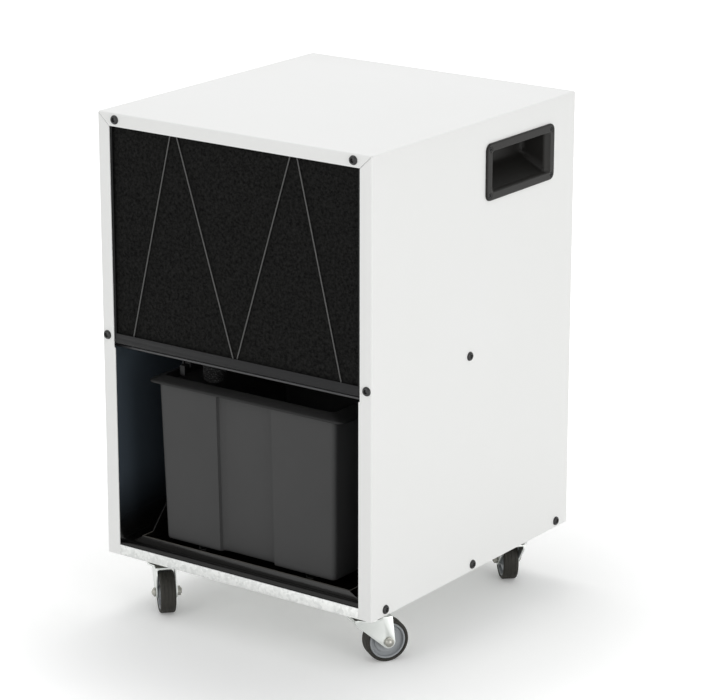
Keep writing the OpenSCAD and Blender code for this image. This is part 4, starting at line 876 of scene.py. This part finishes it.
def tank_ring(side, end, z, radius, recess):
    """One ring: the body's outline at that height, grown by side and end, with a quarter arc at
    each corner. Along the panel its front is set back by recess times a share that rises in a
    steep step on the left, eases on to 1, and falls again as a smooth step on the right."""
    k = 1 - (z - tank_z) / (tank_top - tank_z)
    a = tank_half - DRAFT * k + side
    front, back = tank_front + LEAN * k - end, tank_back - DRAFT * k + end
    a_in, back_in, front_in = a - radius, back - radius, front + radius
    corners = ((a_in, back_in), (-a_in, back_in), (-a_in, front_in), (a_in, front_in))
    turns = [arc(at, radius, 90 * k, 90 * k + 90, 9) for k, at in enumerate(corners)]
    edge = np.concatenate([np.linspace(PANEL_LEFT - 1.2, PANEL_LEFT + 0.9, 4),
                           PANEL_LEFT + 1.2 + 12 * np.linspace(0, 1, 8) ** 1.6,
                           np.linspace(PANEL_RIGHT - 7, PANEL_RIGHT + 1.4, 10)])
    sunk = np.interp(edge, [PANEL_LEFT - 0.6, PANEL_LEFT + 0.9], [0, 0.72])
    sunk += 0.28 * (1 - (1 - np.clip((edge - PANEL_LEFT - 0.9) / 12, 0, 1)) ** 2.4)
    sunk *= eased(np.clip((PANEL_RIGHT + 0.6 - edge) / 3.4, 0, 1))
    panel = np.stack([edge, front + recess * sunk], 1)
    return np.insert(np.concatenate([*turns[:3], panel, turns[3]]), 2, z, axis=1)


print("points in a ring:", len(tank_ring(0, 0, tank_z, 7.0, 0)))


# %% Tank
def tank_rows():
    """The rings as rows of (side, end, height, corner radius, panel depth), from the middle of
    the floor up the outside, round the rim and down the inside to the floor again."""
    rows = [(-5.0, -5.0, tank_z, 4.0, PANEL_DEPTH)]
    for t in np.linspace(0, np.pi / 2, 6):
        inset, height = -FLOOR_CURVE * (1 - np.sin(t)), FLOOR_CURVE * (1 - np.cos(t))
        rows.append((inset, inset, tank_z + height, 4.0 + 3.0 * np.sin(t), PANEL_DEPTH))
    rows += [(0.0, 0.0, z, 7.0, PANEL_DEPTH) for z in np.linspace(tank_z + 9, under - 5, 7)]
    rows += [(0.0, 0.0, under - 1.5, 7.0, PANEL_DEPTH * 0.6),
             (0.0, 0.0, under + 1.0, 7.0, 0.0),
             (0.0, 0.0, tank_top - 6.5, 7.0, 0.0),
             (RIM_SIDE * 0.45, RIM_END * 0.3, tank_top - 6, 9.0, 0.0),
             (RIM_SIDE - 3.2, RIM_END - 2.2, under + 2.5, 11.0, 0.0),
             (RIM_SIDE - 2.2, RIM_END - 2.0, under, 12.0, 0.0),
             (RIM_SIDE - 0.4, RIM_END - 0.4, under + 0.1, 13.0, 0.0),
             (RIM_SIDE, RIM_END, under + 0.8, 13.0, 0.0),
             (RIM_SIDE, RIM_END, under + 1.8, 13.0, 0.0)]
    for u in (0.95, 0.85, 0.7, 0.5, 0.3, 0.15, 0.05, 0.0):
        rows.append((CREST + (RIM_SIDE - CREST) * u, CREST + (RIM_END - CREST) * u,
                     tank_top - (RIM_HEIGHT - 2.8) * u ** 1.25, 6.5 + 6.5 * u, 0.0))
    inside = [(CREST - 1.0, tank_top - 0.7, 5.5, 0.0), (CREST - 1.2, tank_top - 2, 5.0, 0.0),
              (CREST - 1.2, under, 5.0, 0.0), (-TANK_WALL, under - 6, 4.5, PANEL_DEPTH),
              (-TANK_WALL, tank_z + 8, 4.5, PANEL_DEPTH),
              (-TANK_WALL - 4, tank_z + TANK_WALL, 3.0, PANEL_DEPTH)]
    return rows + [(inset, inset, *rest) for inset, *rest in inside]


tank_grid = np.stack([tank_ring(*row) for row in tank_rows()])
tank = make_piece("water_tank", closed_grid(tank_grid), tank_plastic, "tank", crisp=32)
# Painted shade: the rim, above the body's top, takes the darker copy of the tank's plastic
second_finish(tank, rim_shade_plastic, lambda at: at[:, 2] > under - 1)
print("tank:", np.round(tank_high - tank_low), "mm,", len(tank.data.polygons), "faces")

# %% [markdown]
# ## Filter, rail and wire
#
# The fleece is a slab whose front is a fine height field: three octaves of smooth random bumps
# make it look felted, and its rim falls away where the frame grips it. The wire is a round bar
# along the engineering wire's path, and its corners are bent round a small former.


# %% Fleece
def smooth_noise(shape, cells, seed):
    """Smooth random heights: random values on a coarse lattice, blended with cubic weights."""
    lattice = np.random.default_rng(seed).standard_normal((cells[0] + 2, cells[1] + 2))
    u = np.linspace(0, cells[0], shape[0])[:, None]
    v = np.linspace(0, cells[1], shape[1])[None, :]
    i, j = np.minimum(u.astype(int), cells[0]), np.minimum(v.astype(int), cells[1])
    a, b = eased(u - i), eased(v - j)
    near = lattice[i, j] * (1 - b) + lattice[i, j + 1] * b
    far = lattice[i + 1, j] * (1 - b) + lattice[i + 1, j + 1] * b
    return near * (1 - a) + far * a


COLUMNS, LEVELS = 280, 200
FRONT_IN, RIM_WIDTH, RIM_FALL = 0.75, 7, 2.2
OCTAVES = ((0.16, (24, 17), 3), (0.13, (84, 60), 5), (0.10, (210, 150), 7))
mat_low, mat_high = span("filter_mat")
u, v = np.meshgrid(np.linspace(mat_low[0], mat_high[0], COLUMNS),
                   np.linspace(mat_low[2], mat_high[2], LEVELS), indexing="ij")
felt = sum(height * smooth_noise(u.shape, cells, seed) for height, cells, seed in OCTAVES)
to_rim = np.minimum.reduce([u - u.min(), u.max() - u, v - v.min(), v.max() - v])
ease = np.clip(to_rim / RIM_WIDTH, 0, 1)
face_y = mat_low[1] + FRONT_IN + RIM_FALL * (1 - ease) ** 2 - felt * ease
face = np.stack([u, face_y, v], -1).reshape(-1, 3)
ids = np.arange(len(face)).reshape(COLUMNS, LEVELS)
border = np.concatenate([ids[:, 0], ids[-1, 1:], ids[-2::-1, -1], ids[0, -2:0:-1]])
behind = face[border] * (1, 0, 1) + (0, mat_high[1] - 0.2, 0)
back_ids = len(face) + np.arange(len(border))
sides = np.stack([border, np.roll(border, -1), np.roll(back_ids, -1), back_ids], 1)
faces = grid_faces(COLUMNS, LEVELS) + sides.tolist() + [back_ids.tolist()]
points = np.concatenate([face, behind])
mat = make_piece("filter_fleece", (points, faces), filter_fleece, "filter_mat", crisp=70)
print("fleece:", len(faces), "faces")

# %% Wire, rail and frame
WIRE_RADIUS, WIRE_BEND = 0.95, 2.2
wire_low, wire_high = span("filter_wire")
bottom, crest = wire_low[2] + 3, wire_high[2] - 1
foot, tip, peak = side_x - 51, 2.4, 99
path = [(-foot - 8, bottom - 2), (-foot, bottom), (-peak - tip, crest), (-peak + tip, crest),
        (-tip, bottom), (tip, bottom), (peak - tip, crest), (peak + tip, crest), (foot, bottom),
        (foot + 8, bottom - 2)]
path = np.insert(np.array(path), 1, middle("filter_wire")[1], axis=1)
bar = tube(path, WIRE_RADIUS, WIRE_BEND, sides=12)
make_piece("filter_spring", bar, wire_coat, "filter_wire", crisp=60)
softened("filter_rail", rail_coat, 0.45)
softened("filter_frame", frame_plastic, 0.4)
shelf_low = span("shelf")[0]
rail_low, rail_high = span("filter_rail")
# A thin strip under the rail, in front of the shelf's edge: a painted highlight along the rail's
# lower edge
highlight_height = rail_low[2] - shelf_low[2] + 1.4
outline = round_ring(rail_high[0] - rail_low[0] - 1, highlight_height, 0.5, 3,
                     (0, shelf_low[2] - 0.8 + highlight_height / 2))
highlight_strip = upright(slab(outline, 0, 1.1, edge=0.4), shelf_low[1] - 1.5)
make_piece("rail_highlight_strip", highlight_strip, rail_highlight_coat)
print("wire from", np.round(bottom), "to", np.round(crest), "mm")

# %% [markdown]
# ## Hose, spout and float switch
#
# The foam sleeve hangs a little askew over the tank, so it is a turned form whose axis leans. Its
# lower rim is rounded, and a shallow random field makes its skin uneven.

# %% Sleeve and switch
SLEEVE_RADIUS, SLEEVE_TAPER, SLEEVE_TURNS, RIM_RADIUS = 17.4, 3.6, 72, 3.0
RIB_HEIGHT, RIB_PITCH, UNEVEN = 0.35, 3.4, 0.018
sleeve_low, sleeve_high = span("drain_sleeve")
spout_at = middle("drain_spout")
lean = np.radians(9)
axis = (-np.sin(lean), 0, -np.cos(lean))
length = (sleeve_high[2] - sleeve_low[2] - 17.5 * np.sin(lean)) / np.cos(lean) - 0.4
t = np.linspace(0, np.pi / 2, 7)[1:]
down = np.linspace(0, length - RIM_RADIUS, 40)
ribs = RIB_HEIGHT * np.cos(down * 2 * np.pi / RIB_PITCH)
skin = SLEEVE_RADIUS - SLEEVE_TAPER * (down / length) ** 1.3 + ribs
lower_rim = np.stack([skin[-1] - RIM_RADIUS + RIM_RADIUS * np.cos(t),
                      length - RIM_RADIUS + RIM_RADIUS * np.sin(t)], 1)
bore = [(9.9, length - 0.6), (9.5, length - 2.5), (9.2, length - 8), (9.2, 0)]
section = np.concatenate([np.stack([skin, down], 1), lower_rim, bore])
points, faces = turned(section, SLEEVE_TURNS, closed=True)
turn, row = np.arange(len(points)) % SLEEVE_TURNS, np.arange(len(points)) // SLEEVE_TURNS
uneven = smooth_noise((SLEEVE_TURNS, SLEEVE_TURNS), (14, 14), 11)[turn, row * 3 % SLEEVE_TURNS]
points = points + UNEVEN * uneven[:, None] * points * (1, 1, 0)
points, faces = aimed((points, faces), (*spout_at[:2], sleeve_high[2]), axis)
points[:, 2] = np.clip(points[:, 2], sleeve_low[2], sleeve_high[2])
sleeve = make_piece("foam_sleeve", (points, faces), foam, "drain_sleeve", crisp=60)
softened("float_switch", control_plastic, 0.3)
softened("float_lever", control_plastic, 0.3)
print("sleeve:", round(length), "mm long, leaning", round(np.degrees(lean)), "degrees")

# %% [markdown]
# ## Swivel casters
#
# One caster is described once, in its own directions: forward along its trail, the axle across,
# and up. Every turned part is a profile carried round the axle. The record of the engineering
# model gives the swivel axis and the wheel's middle, and these two points place each caster.
#
# The tyre has a flat tread with round shoulders and three fine moulded lines. The hub has a pale
# rim, a groove and a disc, like the moulded halves of a real caster wheel.

# %% Sections of the caster's turned parts
WHEEL_RADIUS, TYRE_HALF, SHOULDER, RACE_FOOT = 30.0, 11.0, 3.4, 66.6


def mirrored(half, between=()):
    """A section made of its upper half, rows between, and the same half again, turned over."""
    half = [tuple(row) for row in half]
    return np.array(half + list(between) + [(r, -a) for r, a in half[::-1]])


def tyre_profile():
    """The tyre's section as (radius, across): bore, side wall, shoulder and a grooved tread."""
    side = [(25.45, TYRE_HALF - 2.0), (25.7, TYRE_HALF - 0.9), (26.3, TYRE_HALF - 0.25)]
    shoulder = arc((WHEEL_RADIUS - SHOULDER, TYRE_HALF - SHOULDER), SHOULDER, 90, 0, 8)
    tread = [(WHEEL_RADIUS - sunk, at + off) for at in (5.2, 0.0, -5.2)
             for sunk, off in ((0, 0.55), (0.45, 0.2), (0.45, -0.2), (0, -0.55))]
    return mirrored([*side, *shoulder], tread)


def hub_profile():
    """The hub's section as (radius, across): bore, boss, disc, groove and pale rim."""
    return mirrored([(4.06, 11.6), (8.2, 11.6), (8.8, 11.1), (9.2, 7.4), (10.4, 6.8), (16.6, 7.2),
                     (17.4, 6.8), (18.0, 5.0), (21.6, 4.8), (22.3, 5.6), (22.7, 9.4), (23.2, 9.9),
                     (24.7, 9.9), (25.2, 9.3)])


def race_profile(low, high):
    """The ball race between fork and plate: a bulging ring, with its seam in the middle."""
    seam = (low + high) / 2
    lower, upper = arc((19.5, seam - 3.1), 3.0, -75, 60, 7), arc((19.5, seam + 3.1), 3.0, -60, 75, 7)
    return np.concatenate([[[12, low + 0.1], [18, low + 0.1]], lower, [[20.6, seam]], upper,
                           [[18, high - 0.1], [12, high - 0.1]]])


print("stations in the tyre's section:", len(tyre_profile()))


# %% Casters
def joint_point(name):
    """A joint's place in mm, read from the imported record."""
    row = next(j for j in frame["record"]["behaviour"]["joints"] if j["name"] == name)
    return np.array(row["pos_m"]) / MM


CASTERS = ("front_right", "front_left", "rear_right", "rear_left")
races = []
for corner in CASTERS:
    pivot, wheel = joint_point("swivel_" + corner), joint_point("spin_" + corner)
    along = (wheel - pivot) * (1, 1, 0)
    along /= np.linalg.norm(along)
    across = (along[1], -along[0], 0)
    tyre = aimed(turned(tyre_profile(), 96, closed=True), wheel, across)
    make_piece("caster_tyre_" + corner, tyre, rubber, "tyre_" + corner, crisp=28)
    hub = aimed(turned(hub_profile(), 72, closed=True), wheel, across)
    make_piece("caster_hub_" + corner, hub, wheel_plastic, "hub_" + corner, crisp=30)
    softened("fork_" + corner, zinc_plate, 0.7)
    softened("axle_" + corner, axle_steel, 0.5)
    race = race_profile(RACE_FOOT, span("caster_plates")[1][2] - 2.6)
    races.append(aimed(turned(race, 48, closed=True), pivot * (1, 1, 0), (0, 0, 1)))
# The races take the dark finish: painted shade under the caster plates
make_piece("ball_races", join_grids(*races), race_shade_steel)
softened("caster_plates", zinc_plate, 0.4)
print("casters:", len(CASTERS))

# %% [markdown]
# ## Hand cups
#
# A hand cup is one closed skin made of rings, like a set of nested picture frames: up the outside
# of the cup, over the bezel's back and edge, down the slope to the hand hole and on into the cup.
# The cup's floor rises as it goes in, so each ring inside is moved up and made smaller. The four
# screw hollows are pressed into the flat of the bezel by lowering the points near each screw.

# %% Rings of a hand cup
BEZEL_WIDE, BEZEL_TALL = np.ptp(span("handle_right"), axis=0)[1], 78.0
SCREW_IN, HOLLOW_RADIUS, HOLLOW_DEPTH = 7.5, 4.0, 1.5


def even(outline, count):
    """A closed outline with its points spread evenly along its length."""
    ring = np.concatenate([outline, outline[:1]])
    along = np.concatenate([[0], np.cumsum(np.linalg.norm(np.diff(ring, axis=0), axis=1))])
    where = np.linspace(0, along[-1], count, endpoint=False)
    return np.stack([np.interp(where, along, ring[:, k]) for k in (0, 1)], 1)


def bezel_rows():
    """The rings as rows of (width, height, corner radius, stand-off from the side, lift). The
    bezel's own rings are given by how far they lie inside its edge."""
    edge = [(0, 0, 9.5, 0.1, 0), (0, 0, 9.5, 1.7, 0)]
    edge += [(2 * s, 2 * s, 9.5 - s, 1.7 + h, 0) for s, h in ((0.25, 0.7), (0.7, 1.15), (1.4, 1.4))]
    edge += [(2 * s, 2 * s, 9.0 - 0.5 * s, 3.15, 0) for s in np.linspace(1.8, 10.6, 15)]
    edge += [(22.4, 21.6, 3.6, 3.0, 0), (36, 25, 3.2, -0.9, 0), (38, 26, 3.0, -2.0, 0),
             (39, 27, 3.0, -4.0, 0.6)]
    outside = [(104, 28, 6, -37.6, 16), (112, 34, 7, -37.2, 16), (118, 40, 7, -33, 16),
               (127, 50, 5, -8, 2), (130, 54, 5, -1.4, 0), (148, 62, 6, -0.4, 0),
               (163, 76, 9, -0.1, 0)]
    inside = [(116, 39, 5, -28, 13.4), (113, 37, 5.5, -33, 15.6), (106, 30, 5, -35.4, 15.8),
              (90, 18, 4, -35.8, 15.8)]
    return outside + [(BEZEL_WIDE - w, BEZEL_TALL - h, *rest) for w, h, *rest in edge] + inside


print("rings in a hand cup:", len(bezel_rows()))


# %% Hand cups
def hand_cup(sign):
    """The skin of one hand cup, on the right side for a sign of 1 and on the left for -1. Each
    ring is 300 even points at its stand-off; near a screw that falls by a smooth step."""
    rings = []
    for wide, tall, radius, height, lift in bezel_rows():
        flat = even(round_ring(wide, tall, radius, 8), 300)
        deep = np.full(len(flat), float(height))
        if height > 2.5:
            gap = np.abs(flat) - (BEZEL_WIDE / 2 - SCREW_IN, BEZEL_TALL / 2 - SCREW_IN)
            near = np.clip((HOLLOW_RADIUS - np.linalg.norm(gap, axis=1)) / 1.3, 0, 1)
            deep -= HOLLOW_DEPTH * eased(near)
        rings.append(np.column_stack([side_x + deep, handle_y + flat[:, 0],
                                      handle_z + lift + flat[:, 1]]))
    points, faces = closed_grid(np.stack(rings))
    return points * (sign, 1, 1), faces


for side, sign in (("right", 1), ("left", -1)):
    cup = make_piece("hand_cup_" + side, hand_cup(sign), handle_plastic, "handle_" + side, crisp=40)
    # Painted shade: the faces inside the cup take the darker finish
    second_finish(cup, cup_shade_plastic, lambda at: np.abs(at[:, 0]) < side_x - 3)
softened("handle_screws", black_steel, 0.2)
print("hand cup at, mm:", round(handle_y), round(handle_z))

# %% [markdown]
# ## The back
#
# The back carries the louvre for the dry air, and a shallow recess with the controls: a humidity
# knob with moulded finger flutes, a rocker, a lamp, an hour counter and the gland for the cord.
# The knob's grip is a turned form whose radius dips twelve times on its way round.

# %% Louvre and plain controls
softened("rear_panel", white_coat, 0.3)
softened("outlet_grille", black_steel, 0.35)
softened("control_panel", control_plastic, 0.4)
softened("switch_frame", control_plastic, 0.35)
softened("rocker", red_rocker, 0.4)
softened("hour_counter", control_plastic, 0.3)
softened("cable_gland", gland_plastic, 0.5)

# %% Knob
FLUTES, FLUTE_DEPTH = 12, 1.3
knob_low, knob_high = span("humidity_knob")
knob_at, knob_r = middle("humidity_knob"), (knob_high[0] - knob_low[0]) / 2
profile = np.array([(2.0, -4.0), (knob_r - 0.6, 0.0), (knob_r, 0.5), (knob_r, 3.2),
                    (knob_r - 0.8, 4.0), (knob_r - 3.4, 4.4), (knob_r - 3.9, 5.4),
                    (knob_r - 4.5, 10.6), (knob_r - 5.3, 11.6), (knob_r - 7.0, 12.0), (1.0, 11.7)])
angle = np.linspace(0, 2 * np.pi, 240, endpoint=False)
dip = np.clip(np.cos(FLUTES * angle), 0, 1) ** 1.5
upper = np.clip((profile[:, 1:] - 4.6) / 1.0, 0, 1) * (profile[:, :1] > knob_r - 6)
radius = profile[:, :1] - FLUTE_DEPTH * upper * dip
grip = closed_grid(np.stack([radius * np.cos(angle), profile[:, 1:] + 0 * angle,
                             radius * np.sin(angle)], -1))
pointer = slab(round_ring(2.6, knob_r - 5, 1.1, 4, (0, -(knob_r - 5) / 2 - 2)), 11.4, 13.0, 0.4)
points, faces = join_grids(grip, (pointer[0][:, [0, 2, 1]], pointer[1]))
points = points + (knob_at[0], knob_high[1] - 13.2, knob_at[2])
make_piece("fluted_knob", (points, faces), control_plastic, "humidity_knob", crisp=30)
print("knob radius", round(knob_r, 1), "mm")

# %% Marks of the dial
# Each mark is a thin raised bar above the knob, turned round the knob's middle
MARK_ANGLES, LONG_MARK, SHORT_MARK = np.radians(np.linspace(-140, 140, 11)), 3.6, 2.2
marks = []
face_y = span("control_panel")[0][1] + 3.0
for k, turn in enumerate(MARK_ANGLES):
    long = LONG_MARK if k % 5 == 0 else SHORT_MARK
    bar, faces = slab(round_ring(0.8, long, 0.3, 3, (0, knob_r + 1.6 + long / 2)), 0.0, 0.25, 0.1, 3)
    spin = np.array([[np.cos(turn), -np.sin(turn)], [np.sin(turn), np.cos(turn)]])
    a, b = (bar[:, :2] @ spin.T).T
    marks.append((np.column_stack([knob_at[0] + a, face_y + bar[:, 2], knob_at[2] - b]), faces))
make_piece("dial_marks", join_grids(*marks), cream_plastic)
print("marks:", len(marks))

# %% Lamp and counter window
lamp_low, lamp_high = span("tank_lamp")
lamp_at, lens_r = middle("tank_lamp"), (lamp_high[0] - lamp_low[0]) / 2
t = np.linspace(0, np.pi / 2, 9)
dome = np.stack([(lens_r - 0.3) * np.cos(t), 0.7 + (lamp_high[1] - face_y - 0.7) * np.sin(t)], 1)
lens = turned(np.concatenate([[[lens_r - 1, -2.0], [lens_r, -1.6], [lens_r, 0.4]], dome]), 40)
lens = aimed(lens, (lamp_at[0], face_y, lamp_at[2]), (0, 1, 0))
make_piece("amber_lens", lens, amber_lens, "tank_lamp")
counter = middle("hour_counter")
window = slab(round_ring(27, 9, 1.2, 5, (counter[0], counter[2])), 0.0, 0.5, 0.2, 3)
window = upright(window, span("hour_counter")[1][1] - 0.15)
make_piece("counter_window", window, display_glass)
print("lens radius", round(lens_r, 1), "mm")

# %% [markdown]
# ## The parts that keep their shape
#
# What lies inside is seen only through gaps, so these engineering parts only change their finish.

# %% Looks for the engineering parts
DRESS = ((galvanised, ("shelf", "fan_shroud")),
         (spout_plastic, ("drain_spout", "fan_wheel")),
         (liner_gloss, ("drip_tray",)),
         (aluminium, ("evaporator_fins", "condenser_fins", "capacitor", "fan_motor")),
         (copper, ("coil_tubes", "suction_line", "discharge_line", "liquid_line")),
         (black_steel, ("compressor",)),
         (rubber, ("compressor_feet",)),
         (zinc_plate, ("compressor_bolts", "caster_bolts")))
for finish, nodes in DRESS:
    for node in nodes:
        part = frame["nodes"][node]
        if not part.material_slots:
            part.data.materials.append(finish)
        for spot in part.material_slots:
            spot.material = finish
print("dressed:", sum(len(nodes) for _, nodes in DRESS))
